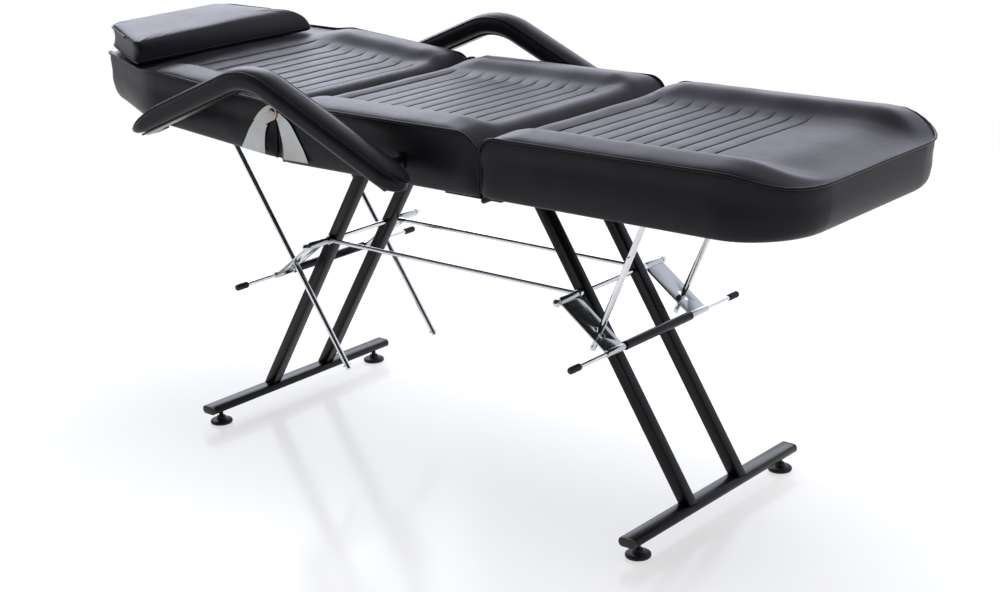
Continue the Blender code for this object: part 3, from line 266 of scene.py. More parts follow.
class Shape:
    # Points and faces of one piece, put together from simple skins
    def __init__(self):
        self.points = []
        self.faces = []

    def skin(self, rings, closeEnds=True, joinEnds=False):
        first = len(self.points)
        count = len(rings[0])
        for ring in rings:
            self.points += [tuple(point) for point in ring]
        for i in range(len(rings) if joinEnds else len(rings) - 1):
            here = first + i * count
            ahead = first + (i + 1) % len(rings) * count
            for j in range(count):
                k = (j + 1) % count
                self.faces.append((here + j, here + k, ahead + k, ahead + j))
        if closeEnds and not joinEnds:
            self.faces.append(tuple(reversed(range(first, first + count))))
            self.faces.append(tuple(range(first + (len(rings) - 1) * count, first + len(rings) * count)))
        return self

    def lathe(self, profile, start, direction, count=40, joinEnds=False):
        turn = Vector((0, 0, 1)).rotation_difference(Vector(direction)).to_matrix()
        start = Vector(start)
        angles = [2 * math.pi * i / count for i in range(count)]
        rings = [[start + turn @ Vector((radius * math.cos(a), radius * math.sin(a), height)) for a in angles]
                 for radius, height in profile]
        return self.skin(rings, joinEnds=joinEnds)

    def bar(self, start, end, radius, chamfer=0.0004, count=32):
        start, end = Vector(start), Vector(end)
        length = (end - start).length
        profile = [(radius - chamfer, 0.0), (radius, chamfer), (radius, length - chamfer),
                   (radius - chamfer, length)]
        return self.lathe(profile, start, end - start, count)

    def collar(self, start, end, outer, inner, chamfer=0.0005):
        start, end = Vector(start), Vector(end)
        length = (end - start).length
        profile = [(inner, 0.0), (outer - chamfer, 0.0), (outer, chamfer), (outer, length - chamfer),
                   (outer - chamfer, length), (inner, length)]
        return self.lathe(profile, start, end - start, joinEnds=True)

    def tube(self, path, radius, closed=False, count=10):
        path = [Vector(point) for point in path]
        angles = [2 * math.pi * j / count for j in range(count)]
        rings = []
        side = None
        for i, point in enumerate(path):
            before = path[i - 1] if i or closed else point
            after = path[(i + 1) % len(path)] if i + 1 < len(path) or closed else point
            along = (after - before).normalized()
            if side is None:
                side = along.cross(Vector((0, 0, 1)))
                if side.length < 0.1:
                    side = along.cross(Vector((0, 1, 0)))
            side = (side - along * side.dot(along)).normalized()
            up = side.cross(along)
            rings.append([point + side * radius * math.cos(a) + up * radius * math.sin(a) for a in angles])
        return self.skin(rings, joinEnds=closed)


def capStrips(ring, sideCount, endCount):
    # Close a ring that runs up one side, over an end, down the other side and back, with rungs across
    def other(i):
        return ring[2 * sideCount + endCount - 1 - i]

    faces = [(ring[i], ring[i + 1], other(i + 1), other(i)) for i in range(sideCount - 1)]
    faces.append(tuple(ring[sideCount - 1:sideCount + endCount + 1]))
    faces.append(tuple(ring[2 * sideCount + endCount - 1:]) + (ring[0],))
    return faces


def coat(mesh, material, sharpAngle=None):
    mesh.materials.clear()
    mesh.materials.append(material)
    mesh.shade_smooth()
    if sharpAngle:
        mesh.set_sharp_from_angle(angle=math.radians(sharpAngle))


def linkPiece(name, mesh):
    piece = bpy.data.objects.new(name, mesh)
    bpy.context.scene.collection.objects.link(piece)
    return piece


def meshPiece(name, points, faces, merge=None, edges=()):
    # A new piece whose faces point outwards, its doubles merged first where a distance is given
    mesh = bpy.data.meshes.new(name)
    mesh.from_pydata([tuple(point) for point in points], edges, faces)
    if faces:
        builder = bmesh.new()
        builder.from_mesh(mesh)
        if merge:
            bmesh.ops.remove_doubles(builder, verts=builder.verts, dist=merge)
        bmesh.ops.recalc_face_normals(builder, faces=builder.faces)
        builder.to_mesh(mesh)
        builder.free()
    return linkPiece(name, mesh)


def applyModifiers(piece):
    graph = bpy.context.evaluated_depsgraph_get()
    mesh = bpy.data.meshes.new_from_object(piece.evaluated_get(graph))
    piece.modifiers.clear()
    piece.data = mesh


def subdivide(piece):
    smooth = piece.modifiers.new("Smooth", "SUBSURF")
    smooth.levels = 1
    smooth.render_levels = 1
    applyModifiers(piece)


def finishPiece(piece, body, slotName, *replaced):
    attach(piece, body)
    if replaced:
        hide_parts(*replaced)


def addPiece(name, shape, material, sharpAngle, body, slotName, *replaced):
    piece = meshPiece(name, shape.points, shape.faces, 0.00001)
    coat(piece.data, material, sharpAngle)
    finishPiece(piece, body, slotName, *replaced)


# Seat, backrest and leg rest

backTilt = math.radians(5.0)
hingePlace = Vector((-0.289, 0.0, 0.750))

# Places across a pad are shares of its half width; waves are (height, size, seed)
padForm = {
    "half": 0.300, "sideRound": 0.030, "topRound": 0.045, "board": 0.0124,
    "roll": 0.014, "rollStart": 0.62, "rollRise": 0.44, "rollFall": 0.42, "rollEdge": 0.82, "rollSpan": 0.09,
    "scoop": 0.012, "scoopSpan": (0.48, 0.79),
    "pitch": 0.0375, "heldSpan": (0.52, 0.62), "depth": 0.0017, "width": 0.0013, "puff": 0.0005,
    "foldWidth": 0.0014, "pinHeld": 0.3, "pinNear": 0.01, "heldDrop": 0.95,
    "seamNear": 0.001, "seamDraw": 0.25, "seamClear": 0.0015,
    "top": 0.046, "topCalm": 0.26, "sideCalm": 0.70,
    "topWaves": (0.0011, 0.075, 3.1), "topWaveDepth": 0.05,
    "sideWaves": (0.0016, 0.060, 8.4), "sideWaveDepth": 0.012,
}
headForm = {"taper": 0.062, "taperSpan": 0.235, "ease": 0.24, "corner": 0.026, "flat": (0.175, 0.235),
            "rise": 0.008}


def seamSide(distance):
    return cornerInset(distance, padForm["sideRound"]) / 3


def seamTop(distance):
    return cornerInset(distance, padForm["topRound"])


def rollIn(distance):
    return smoothStep(distance, 0.0, padForm["rollSpan"])


def backHalf(d, left):
    # The head end tapers, with an eased start
    s = headForm
    along = max(s["taperSpan"] - left, 0.0) / s["taperSpan"]
    inset = along * along / (2 * s["ease"]) if along < s["ease"] else along - s["ease"] / 2
    return (padForm["half"] - s["taper"] * inset / (1.0 - s["ease"] / 2) - cornerInset(left, s["corner"])
            - seamSide(d))


# Each form takes the distance from the seam end and what is left to the far end
padSettings = {
    "seat": {
        "node": "seat_cushion", "body": "frame", "length": 0.524, "thickness": 0.108,
        "grooveStart": 0.060, "grooves": 11, "endDraw": 0.0, "endSpan": 0.045,
        "half": lambda d, left: padForm["half"] - seamSide(d) - seamSide(left),
        "edge": lambda d, left: -seamTop(d) - seamTop(left),
        "bolster": lambda d, left: rollIn(min(d, left)),
        "crown": lambda d, left: 0.0,
        "farRound": 0.045, "farSeam": True, "origin": Vector((-0.2875, 0.0, 0.765)), "headward": False,
    },
    "legrest": {
        "node": "legrest_cushion", "body": "legrest", "length": 0.648, "thickness": 0.103,
        "grooveStart": 0.0675, "grooves": 10, "endDraw": 0.012, "endSpan": 0.138,
        "half": lambda d, left: padForm["half"] - seamSide(d) - cornerInset(left, 0.138),
        "edge": lambda d, left: -seamTop(d) - 0.027 * nearEnd(left, 0.0, 0.130),
        "bolster": lambda d, left: rollIn(d) * smoothStep(left, 0.0, 0.11),
        "crown": lambda d, left: 0.004 * nearEnd(left, 0.0, 0.324),
        "farRound": 0.138, "farSeam": False, "origin": Vector((0.2395, 0.0, 0.760)), "headward": False,
    },
    "backrest": {
        "node": "backrest_cushion", "body": "backrest", "length": 0.598, "thickness": 0.100,
        "grooveStart": 0.061, "grooves": 9, "endDraw": 0.016, "endSpan": 0.235,
        "half": backHalf,
        "edge": lambda d, left: (-seamTop(d) - cornerInset(left, 0.012)
                                 - headForm["rise"] * nearEnd(left, *headForm["flat"])),
        "bolster": lambda d, left: rollIn(d) * smoothStep(left, 0.175, 0.2925),
        "crown": lambda d, left: headForm["rise"] * nearEnd(left, *headForm["flat"]),
        "farRound": 0.026, "farSeam": False, "origin": Vector((-0.0015, 0.0, 0.0125)), "headward": True,
    },
}


def formAt(pad, form, d):
    return pad[form](d, pad["length"] - d)


def backToChair(local):
    # From the backrest's level frame at its hinge into the chair
    return hingePlace + Matrix.Rotation(backTilt, 3, "Y") @ local


def padPlace(pad, point):
    # From a pad's own frame, seam end at 0, into the chair's
    x, y, z = point
    if pad["headward"]:
        return backToChair(pad["origin"] + Vector((-x, y, z)))
    return pad["origin"] + Vector((x, y, z))


grooveSteps = (-0.5, -0.3, -0.14, -0.06, -0.024, 0.0, 0.024, 0.06, 0.14, 0.3, 0.5)
plainStep = 0.009


def padStations(pad):
    length, far = pad["length"], pad["farRound"]
    arc = [1.0 - math.cos(math.pi / 2 * step / 9) for step in range(10)]
    stations = [padForm["topRound"] * a for a in arc] + [length - far * a for a in arc]
    for i in range(pad["grooves"]):
        stations += [pad["grooveStart"] + (i + share) * padForm["pitch"] for share in grooveSteps]
    plain = pad["grooveStart"] + (pad["grooves"] - 0.5) * padForm["pitch"]
    steps = max(int((length - far - plain) / plainStep), 1)
    stations += [plain + (length - far - plain) * i / steps for i in range(1, steps)]
    if pad["headward"]:
        stations += [length - far - plainStep * i for i in range(8)]
    ordered = []
    for d in sorted(stations):
        if not ordered or d - ordered[-1] > 0.0008:
            ordered.append(d)
    ordered[-1] = length
    return ordered


# Columns from the middle to the edge, and rings down the side with how far each is drawn in
padColumns = [0.0, 0.06, 0.12, 0.18, 0.24, 0.30, 0.36, 0.42, 0.47, 0.51, 0.55, 0.59, 0.63, 0.67, 0.71, 0.75,
              0.79, 0.83, 0.87, 0.905, 0.935, 0.96, 0.98, 0.992, 1.0]
padDrops = ((0.04, 0.0), (0.09, 0.0), (0.18, 0.0008), (0.29, 0.0022), (0.40, 0.0030), (0.52, 0.0024),
            (0.65, 0.0010), (0.78, 0.0002), (0.86, 0.0010), (0.92, 0.0034), (0.965, 0.0068), (0.99, 0.0104),
            (1.0, 0.0135))


def grooveAt(pad, d):
    # Distance to the nearest sewn line, and 1 inside the channelled part
    steps = (d - pad["grooveStart"]) / padForm["pitch"]
    if steps < -0.5 or steps > pad["grooves"] - 0.5:
        return 1.0, 0.0
    return abs(steps - round(steps)), 1.0


def bolsterRise(across):
    # Side roll: up from the channels, a gentle outer slope, then down to the piping
    s = padForm
    share = (across - s["rollStart"]) / (1.0 - s["rollStart"])
    if share <= 0.0:
        return 0.0
    rise = math.sin(math.pi / 2 * min(share / s["rollRise"], 1.0)) ** 2
    outer = 1.0 - s["rollFall"] * smoothStep(share, s["rollRise"], 1.0)
    edge = math.sqrt(max(1.0 - max((share - s["rollEdge"]) / (1.0 - s["rollEdge"]), 0.0) ** 2, 0.0))
    return rise * outer * edge


def topHeight(pad, d, across):
    # Height of a pad's top before its sewn lines pull it down
    s = padForm
    swing = bolsterRise(across) * s["roll"] - nearEnd(across, *s["scoopSpan"]) * s["scoop"]
    return (formAt(pad, "edge", d) + swing * formAt(pad, "bolster", d)
            + formAt(pad, "crown", d) * (1.0 - across * across))


def makePad(pad):
    s = padForm
    length, thickness = pad["length"], pad["thickness"] + s["board"]
    shares = [-share for share in reversed(padColumns[1:])] + padColumns
    points, folds, pinned, rows = [], [], [], []
    for d in padStations(pad):
        row = []
        away, inside = grooveAt(pad, d)
        for share in shares:
            across = abs(share)
            held = inside * nearEnd(across, *s["heldSpan"])
            depth = held * (s["depth"] * math.exp(-(away * s["pitch"] / s["width"]) ** 2)
                            + s["puff"] * (1.0 - math.sin(math.pi * min(away, 0.5))))
            row.append(len(points))
            points.append([d, share * formAt(pad, "half", d), topHeight(pad, d, across) - depth])
            # Fold mask: the vinyl paints shade along each sewn line from it, and raises its roughness there
            folds.append(held * math.exp(-(away * s["pitch"] / s["foldWidth"]) ** 2))
            if held > s["pinHeld"] and away < s["pinNear"]:
                pinned.append(row[-1])
        rows.append(row)
    faces = []
    for row, following in zip(rows, rows[1:]):
        for j in range(len(shares) - 1):
            faces.append((row[j], following[j], following[j + 1], row[j + 1]))
    rim = [row[0] for row in rows] + rows[-1][1:]
    rim += [row[-1] for row in reversed(rows[:-1])] + list(reversed(rows[0][1:-1]))
    pinned += rim
    previous = rim
    for drop, draw in padDrops:
        ring = []
        for i, index in enumerate(rim):
            x, y, z = points[index]
            ax, ay, _ = points[rim[i - 1]]
            bx, by, _ = points[rim[(i + 1) % len(rim)]]
            tangent = Vector((bx - ax, by - ay)).normalized()
            seam = x < s["seamNear"] or (pad["farSeam"] and x > length - s["seamNear"])
            # The lower half of the far end is drawn in further
            under = smoothStep(x, length - pad["endSpan"], length) * max(drop - 0.5, 0.0) * 2
            total = draw * (s["seamDraw"] if seam else 1.0) + pad["endDraw"] * under
            ring.append(len(points))
            points.append([x - tangent.y * total, y + tangent.x * total, z + (-thickness - z) * drop])
            folds.append(0.0)
        for i in range(len(rim)):
            j = (i + 1) % len(rim)
            faces.append((previous[j], previous[i], ring[i], ring[j]))
        if drop > s["heldDrop"]:
            pinned += ring
        previous = ring
    faces += capStrips(previous, len(rows), len(shares) - 2)
    return points, faces, folds, sorted(set(pinned))


clothSettings = {"frames": 20, "pressure": 4.0, "cap": 0.0050, "mass": 0.25, "tension": 14.0, "bend": 0.6,
                 "quality": 6}


def swell(piece, pinned):
    # Fill the cover like a cushion: cloth with inner pressure, held along every sewn line
    s = clothSettings
    rest = np.array([v.co for v in piece.data.vertices])
    group = piece.vertex_groups.new(name="sewn")
    group.add(pinned, 1.0, "REPLACE")
    cloth = piece.modifiers.new("Filling", "CLOTH")
    values = {"quality": s["quality"], "mass": s["mass"], "tension_stiffness": s["tension"],
              "compression_stiffness": s["tension"], "bending_stiffness": s["bend"], "use_pressure": True,
              "uniform_pressure_force": s["pressure"], "vertex_group_mass": group.name}
    for key, value in values.items():
        setattr(cloth.settings, key, value)
    cloth.settings.effector_weights.gravity = 0.0
    cloth.collision_settings.use_collision = False
    cloth.point_cache.frame_start = 1
    cloth.point_cache.frame_end = s["frames"]
    for step in range(1, s["frames"] + 1):
        bpy.context.scene.frame_set(step)
    soft = piece.evaluated_get(bpy.context.evaluated_depsgraph_get())
    moved = np.array([v.co for v in soft.data.vertices]) - rest
    piece.modifiers.clear()
    piece.vertex_groups.clear()
    bpy.context.scene.frame_set(1)
    reach = np.linalg.norm(moved, axis=1, keepdims=True)
    share = np.where(reach > 1e-9, np.tanh(reach / s["cap"]) * s["cap"] / np.maximum(reach, 1e-9), 0.0)
    print("  swelled", piece.name, "by up to", round(float(reach.max()) * 1000, 1), "mm before the cap")
    return rest + moved * share


def softWaves(places, amount, size, seed):
    # Slow unevenness of a stretched cover
    return np.array([noise.noise(Vector(p) / size + Vector((seed, 0.0, -seed))) * amount for p in places])


def dressPad(name, pad):
    s = padForm
    points, faces, folds, pinned = makePad(pad)
    piece = meshPiece(name + "Pad", points, faces)
    mesh = piece.data
    rest = np.array(points)
    calm = np.where(rest[:, 2] > -s["top"], s["topCalm"], s["sideCalm"])[:, None]
    filled = rest + (swell(piece, pinned) - rest) * calm
    # The cover stays on its own side of each seam
    clear = s["seamClear"]
    filled[:, 0] = np.maximum(filled[:, 0], np.minimum(rest[:, 0], clear))
    if pad["farSeam"]:
        filled[:, 0] = np.minimum(filled[:, 0], np.maximum(rest[:, 0], pad["length"] - clear))
    free = np.ones(len(points))
    free[pinned] = 0.0
    filled[:, 2] += softWaves(points, *s["topWaves"]) * free * (rest[:, 2] > -s["topWaveDepth"])
    side = (rest[:, 2] < -s["sideWaveDepth"]) & (rest[:, 2] > -pad["thickness"] * s["heldDrop"])
    filled[:, 1] += softWaves(points, *s["sideWaves"]) * free * side
    for vertex, place in zip(mesh.vertices, filled):
        vertex.co = padPlace(pad, place)
    # The fold mask goes to the vinyl, which paints shade along the sewn lines with it
    attribute = mesh.attributes.new("fold", "FLOAT", "POINT")
    attribute.data.foreach_set("value", np.array(folds, np.float32))
    if pad["headward"]:
        mesh.flip_normals()
    coat(mesh, vinyl)
    subdivide(piece)
    finishPiece(piece, pad["body"], "black_vinyl", pad["node"])


weltSettings = {"radius": 0.0027, "out": 0.0012, "up": 0.0018, "seamClear": 0.0024, "rise": 0.008,
                "seamTop": -0.045, "slopeStep": 0.002}


def weltPaths(pad):
    # Piping along the top edge, down each seam corner, and round the far end where there is no seam
    s = weltSettings
    length = pad["length"]

    def spot(d, side, height=None):
        z = formAt(pad, "edge", d) if height is None else height
        ahead, behind = min(d + s["slopeStep"], length), max(d - s["slopeStep"], 0.0)
        slope = (formAt(pad, "half", ahead) - formAt(pad, "half", behind)) / (2 * s["slopeStep"])
        outward = Vector((-slope, 1.0)).normalized() * s["out"]
        x = min(max(d, s["seamClear"]), length - s["seamClear"] if pad["farSeam"] else length)
        return (x + outward.x, side * (formAt(pad, "half", d) + outward.y), z + s["up"])

    low = s["rise"] - pad["thickness"] - padForm["board"]
    drop = [low + (s["seamTop"] - low) * i / 6 for i in range(6)]
    paths = []
    for side in (-1, 1):
        path = [spot(0.0, side, z) for z in drop] + [spot(d, side) for d in padStations(pad)]
        if pad["farSeam"]:
            path += [spot(length, side, z) for z in reversed(drop)]
        paths.append(path)
    if pad["farSeam"]:
        return paths
    half = formAt(pad, "half", length)
    z = formAt(pad, "edge", length) + s["up"]
    end = [(length + s["out"], -half + 2 * half * i / 24, z) for i in range(1, 24)]
    return [paths[0] + end + list(reversed(paths[1]))]


def makeWelt(name, pad):
    shape = Shape()
    for path in weltPaths(pad):
        shape.tube([padPlace(pad, point) for point in path], weltSettings["radius"])
    addPiece(name + "Piping", shape, weltVinyl, 60.0, pad["body"], "black_vinyl")


for padName, pad in padSettings.items():
    dressPad(padName, pad)
    makeWelt(padName, pad)
    print("pad done:", padName)


# Head pillow

# Rings are (height, size); piping is (height, out, radius, how far along it runs)
pillowSettings = {
    "length": 0.173, "foot": 0.262, "head": 0.190, "thickness": 0.057, "fall": 0.004, "slope": 0.034,
    "draw": 0.060, "headDraw": 0.75, "corner": 0.024, "origin": Vector((-0.5975, -0.036, 0.0128)),
    "rings": ((0.0, 0.955), (0.03, 0.985), (0.12, 1.0), (0.3, 0.988), (0.5, 0.983), (0.7, 0.992), (0.86, 1.0),
              (0.93, 0.997), (0.97, 0.985), (0.99, 0.957), (1.0, 0.915)),
    "seamRing": 6, "bottom": (0.3, 0.7, 0.95), "top": (0.94, 0.86, 0.76, 0.64, 0.5, 0.36, 0.22, 0.08),
    "cornerSteps": 8, "sideSteps": 16, "footSteps": 40, "headSteps": 32,
    "slant": 3.4, "rise": 0.0012, "calm": 0.35, "waves": (0.0008, 0.06, 5.5),
    "gather": 0.0004, "gatherSpan": 0.022, "gatherFrom": (0.10, 0.20), "gatherTurn": 1.9,
    "piping": ((0.86, 0.0010, 0.0022, 0.62), (0.16, 0.0002, 0.0012, 2.0)),
}


def pillowPlan():
    # The outline, and how many points are along its sides and inside its foot edge
    s = pillowSettings
    length, corner, steps, turns = s["length"], s["corner"], s["sideSteps"], s["cornerSteps"]
    arc = [corner * (1.0 - math.cos(math.pi / 2 * i / turns)) for i in range(turns + 1)]
    stations = arc + [corner + (length - 2 * corner) * i / steps for i in range(1, steps)]
    stations += [length - a for a in reversed(arc)]

    def half(d):
        base = s["head"] + (s["foot"] - s["head"]) * d / length
        return base - cornerInset(length - d, corner) / 2 - cornerInset(d, corner)

    plan = [(d, -half(d)) for d in stations]
    far, near = half(length), half(0.0)
    plan += [(length, -far + 2 * far * i / s["footSteps"]) for i in range(1, s["footSteps"])]
    plan += [(d, half(d)) for d in reversed(stations)]
    plan += [(0.0, near - 2 * near * i / s["headSteps"]) for i in range(1, s["headSteps"])]
    return plan, len(stations), s["footSteps"] - 1


def pillowPoint(x, y, height, size):
    # The top leans in at the foot edge and at the left side, most at the left head corner
    s = pillowSettings
    middle = s["length"] / 2
    along = x / s["length"]
    across = (y / s["foot"] + 1.0) / 2
    z = (s["thickness"] - s["fall"] * along) * height
    slant = height ** s["slant"]
    lean = s["slope"] * slant * along ** 4 * across
    draw = s["draw"] * slant * across ** 3 * (1.0 + s["headDraw"] * (1.0 - along))
    return Vector((middle + (x - middle) * size - lean, y * size - draw, z))


def pillowToChair(point):
    return backToChair(pillowSettings["origin"] + Vector(point))


def makePillow():
    s = pillowSettings
    plan, sideCount, footCount = pillowPlan()
    count = len(plan)
    rings = [[pillowPoint(x, y, height, size) for x, y in plan] for height, size in s["rings"]]
    bottom, top = rings[0], rings[-1]
    centre = sum(top, Vector()) / count
    base = sum(bottom, Vector()) / count
    for shrink in s["top"]:
        rise = s["rise"] * (1.0 - shrink ** 3)
        rings.append([centre + (p - centre) * shrink + Vector((0, 0, rise)) for p in top])
    inner = [[base + (p - base) * shrink for p in bottom] for shrink in s["bottom"]]
    shape = Shape().skin(inner + rings, closeEnds=False)
    last = len(shape.points)
    shape.faces += capStrips(list(range(count)), sideCount, footCount)
    shape.faces += capStrips(list(range(last - count, last)), sideCount, footCount)
    piece = meshPiece("headPillow", shape.points, shape.faces)
    # The bottom is held up to its first ring, and the top along its seam
    firstRing = len(inner)
    seam = firstRing + s["seamRing"]
    held = list(range(0, (firstRing + 1) * count)) + list(range(seam * count, (seam + 1) * count))
    rest = np.array([v.co for v in piece.data.vertices])
    filled = rest + (swell(piece, held) - rest) * s["calm"]
    free = np.ones(len(rest))
    free[held] = 0.0
    filled[:, 2] += softWaves(rest, *s["waves"]) * free
    filled[:, 2] = np.maximum(filled[:, 2], 0.0)
    # Gathers beside the seam at the corners
    for index in range((firstRing + 2) * count, (firstRing + len(s["rings"]) + 2) * count):
        place = index % count
        x, y = plan[place]
        corner = min(abs(x), abs(x - s["length"]))
        closeness = math.exp(-(corner / s["gatherSpan"]) ** 2) * smoothStep(abs(y), *s["gatherFrom"])
        filled[index][2] += s["gather"] * closeness * math.sin(place * s["gatherTurn"]) * free[index]
    for vertex, place in zip(piece.data.vertices, filled):
        vertex.co = pillowToChair(place)
    coat(piece.data, vinyl)
    subdivide(piece)
    finishPiece(piece, "head_pillow", "black_vinyl", "head_pillow")
    welt = Shape()
    turned = plan[count // 2:] + plan[:count // 2]
    for height, out, radius, reach in s["piping"]:
        path = []
        for x, y in turned:
            if x > reach * s["length"]:
                continue
            point = pillowPoint(x, y, height, 1.0)
            away = Vector((point.x - centre.x, (point.y - centre.y) * 0.35, 0)).normalized() * out
            path.append(pillowToChair(point + away))
        welt.tube(path, radius, closed=reach > 1.0)
    addPiece("headPillowPiping", welt, weltVinyl, 60.0, "head_pillow", "black_vinyl")


makePillow()
print("pillow done")


# Armrest pads

armSettings = {
    "pivot": (0.0535, 0.695), "bend": (-0.321, 0.148), "headSlope": math.radians(22.0),
    "footSlope": math.radians(24.0), "bendRadius": 0.150, "headArm": 0.402, "footArm": 0.431,
    "width": 0.060, "thickness": 0.043, "endLength": 0.055, "headTaper": 0.115, "y": 0.370,
    "headTips": (0.12, 0.36), "footTips": (0.20, 0.66), "headThin": 0.42, "slack": 0.012, "slackSize": 14.0,
    "piping": 0.0017, "seam": (0.418, 0.325), "steps": 18,
}
armEnds = (0.008, 0.03, 0.07, 0.12, 0.19, 0.28, 0.40, 0.54, 0.70, 0.86, 1.0)
# Shares of the section's width and thickness
armForm = {"lowerMiddle": (0.3, -0.22), "lowerRadii": (0.2, 0.28), "underside": (0.3, 0.12, -0.12, -0.3),
           "upperBase": -0.05, "upperRise": 0.55, "fullness": 0.83}


def armSpot(place, slope, along, above):
    return (place[0] + along * math.cos(slope) - above * math.sin(slope),
            place[1] + along * math.sin(slope) + above * math.cos(slope))


def armStations():
    # Places along the pad from head to foot, each with its slope and how full the section is
    s = armSettings
    steps, rounded = s["steps"], s["endLength"]
    bend = (s["pivot"][0] + s["bend"][0], s["pivot"][1] + s["bend"][1])
    turn = s["headSlope"] + s["footSlope"]
    tangent = s["bendRadius"] * math.tan(turn / 2)
    centre = armSpot(bend, s["headSlope"], -tangent, -s["bendRadius"])
    reach = s["headArm"] - rounded - tangent
    along = [(share * rounded - s["headArm"], share) for share in armEnds]
    along += [(rounded - s["headArm"] + reach * i / steps, 1.0) for i in range(1, steps)]
    stations = [(armSpot(bend, s["headSlope"], x, 0.0), s["headSlope"], share) for x, share in along]
    for i in range(steps + 1):
        slope = s["headSlope"] - turn * i / steps
        stations.append((armSpot(centre, slope, 0.0, s["bendRadius"]), slope, 1.0))
    reach = s["footArm"] - rounded - tangent
    along = [(tangent + reach * i / steps, 1.0) for i in range(1, steps)]
    along += [(s["footArm"] - share * rounded, share) for share in reversed(armEnds)]
    return stations + [(armSpot(bend, -s["footSlope"], x, 0.0), -s["footSlope"], share) for x, share in along]


def armSection():
    # A flat underside, rounded lower edges and a full top
    s = armForm
    (middle, level), (wide, deep) = s["lowerMiddle"], s["lowerRadii"]
    lower = [(middle + wide * math.sin(math.pi / 12 * i), level - deep * math.cos(math.pi / 12 * i))
             for i in range(1, 7)]
    points = [(-x, z) for x, z in lower]
    for i in range(0, 29):
        cosine, sine = math.cos(math.pi * i / 28), math.sin(math.pi * i / 28)
        points.append((-0.5 * math.copysign(abs(cosine) ** s["fullness"], cosine),
                       s["upperBase"] + s["upperRise"] * abs(sine) ** s["fullness"]))
    return points + list(reversed(lower)) + [(x, -0.5) for x in s["underside"]]


def armSkin(station, headTip, side):
    # How one section of the pad goes round its station
    s = armSettings
    place, slope, share = station
    narrowing = math.sqrt(max(1.0 - (1.0 - share) ** 2, 0.0))
    tips = s["headTips"] if slope > 0.0 else s["footTips"]
    reach = math.hypot(place[0] - headTip[0], place[1] - headTip[1])
    taper = math.sin(math.pi / 2 * min(reach / s["headTaper"], 1.0))
    slim = s["headThin"] + (1.0 - s["headThin"]) * taper
    size = s["slackSize"]

    def spot(across, above):
        tip = tips[0] if above < 0.0 else tips[1]
        rise = above * s["thickness"] * (tip + (1.0 - tip) * narrowing)
        if above > 0.0:
            rise = (rise + 0.5 * s["thickness"]) * slim - 0.5 * s["thickness"]
        x, z = armSpot(place, slope, 0.0, rise)
        slack = 1.0 + s["slack"] * noise.noise(Vector((x * size, across * 2.0, z * size + side)))
        return (x, side * s["y"] + across * s["width"] * narrowing * slack, z)

    return spot


def makeArmrest(name, side):
    s = armSettings
    stations = armStations()
    spots = [armSkin(station, stations[0][0], side) for station in stations]
    shape = Shape().skin([[spot(across, above) for across, above in armSection()] for spot in spots])
    piece = meshPiece(name + "ArmrestPad", shape.points, shape.faces, 0.00001)
    coat(piece.data, vinyl, 70.0)
    subdivide(piece)
    finishPiece(piece, name + "_armrest", "black_vinyl", name + "_armrest_pad")
    across, above = s["seam"]
    edge = [spot(-across, above) for spot in spots] + [spot(across, above) for spot in reversed(spots)]
    welt = Shape().tube(edge, s["piping"], closed=True)
    addPiece(name + "ArmrestPiping", welt, weltVinyl, 60.0, name + "_armrest", "black_vinyl")


for side, way in sides:
    makeArmrest(side, way)
print("armrests done")


# Steel and plastic nodes: bevelled copies of the CAD

def mergedCopy(name, node):
    # A CAD node's mesh is loose triangles, so a copy has them merged into whole faces
    mesh = node.data.copy()
    mesh.name = name
    builder = bmesh.new()
    builder.from_mesh(mesh)
    bmesh.ops.remove_doubles(builder, verts=builder.verts, dist=0.000005)
    bmesh.ops.dissolve_limit(builder, angle_limit=math.radians(1.0), verts=builder.verts,
                             edges=builder.edges)
    return mesh, builder


def copiedPiece(mesh, builder, material, sharpAngle):
    builder.to_mesh(mesh)
    builder.free()
    coat(mesh, material, sharpAngle)
    return linkPiece(mesh.name, mesh)


def polished(name, material, slotName, width):
    node = cadNodes[name]
    mesh, builder = mergedCopy(name + "Finished", node)
    sharp = [e for e in builder.edges if len(e.link_faces) == 2
             and e.calc_face_angle(0.0) > math.radians(30.0)]
    bmesh.ops.bevel(builder, geom=sharp, offset=width, segments=2, affect="EDGES", profile=0.6,
                    clamp_overlap=True)
    finishPiece(copiedPiece(mesh, builder, material, 38.0), node["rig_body"], slotName, name)


polishedNodes = {
    "powder": (powderCoat, "black_steel", 0.0007, (
        "head_base_bar", "foot_base_bar", "head_cross_member", "foot_cross_member", "head_right_leg",
        "head_left_leg", "foot_right_leg", "foot_left_leg", "backrest_prop_mount", "legrest_prop_mount",
        "seat_strap_leaf", "legrest_strap_leaf", "right_armrest_rail", "left_armrest_rail")),
    "plates": (mirror, "chrome", 0.0004, (
        "head_right_release_plate", "head_left_release_plate", "foot_right_release_plate",
        "foot_left_release_plate")),
    "studs": (powderCoat, "black_steel", 0.0005, (
        "right_armrest_pivot", "left_armrest_pivot", "right_armrest_link_pin", "left_armrest_link_pin")),
    "caps": (plastic, "black_plastic", 0.0006, (
        "head_right_end_cap", "head_left_end_cap", "foot_right_end_cap", "foot_left_end_cap")),
}
for material, slotName, width, names in polishedNodes.values():
    for name in names:
        polished(name, material, slotName, width)


# Side hinges: two fans of polished plate, the backrest's stepping over the seat's at the pin

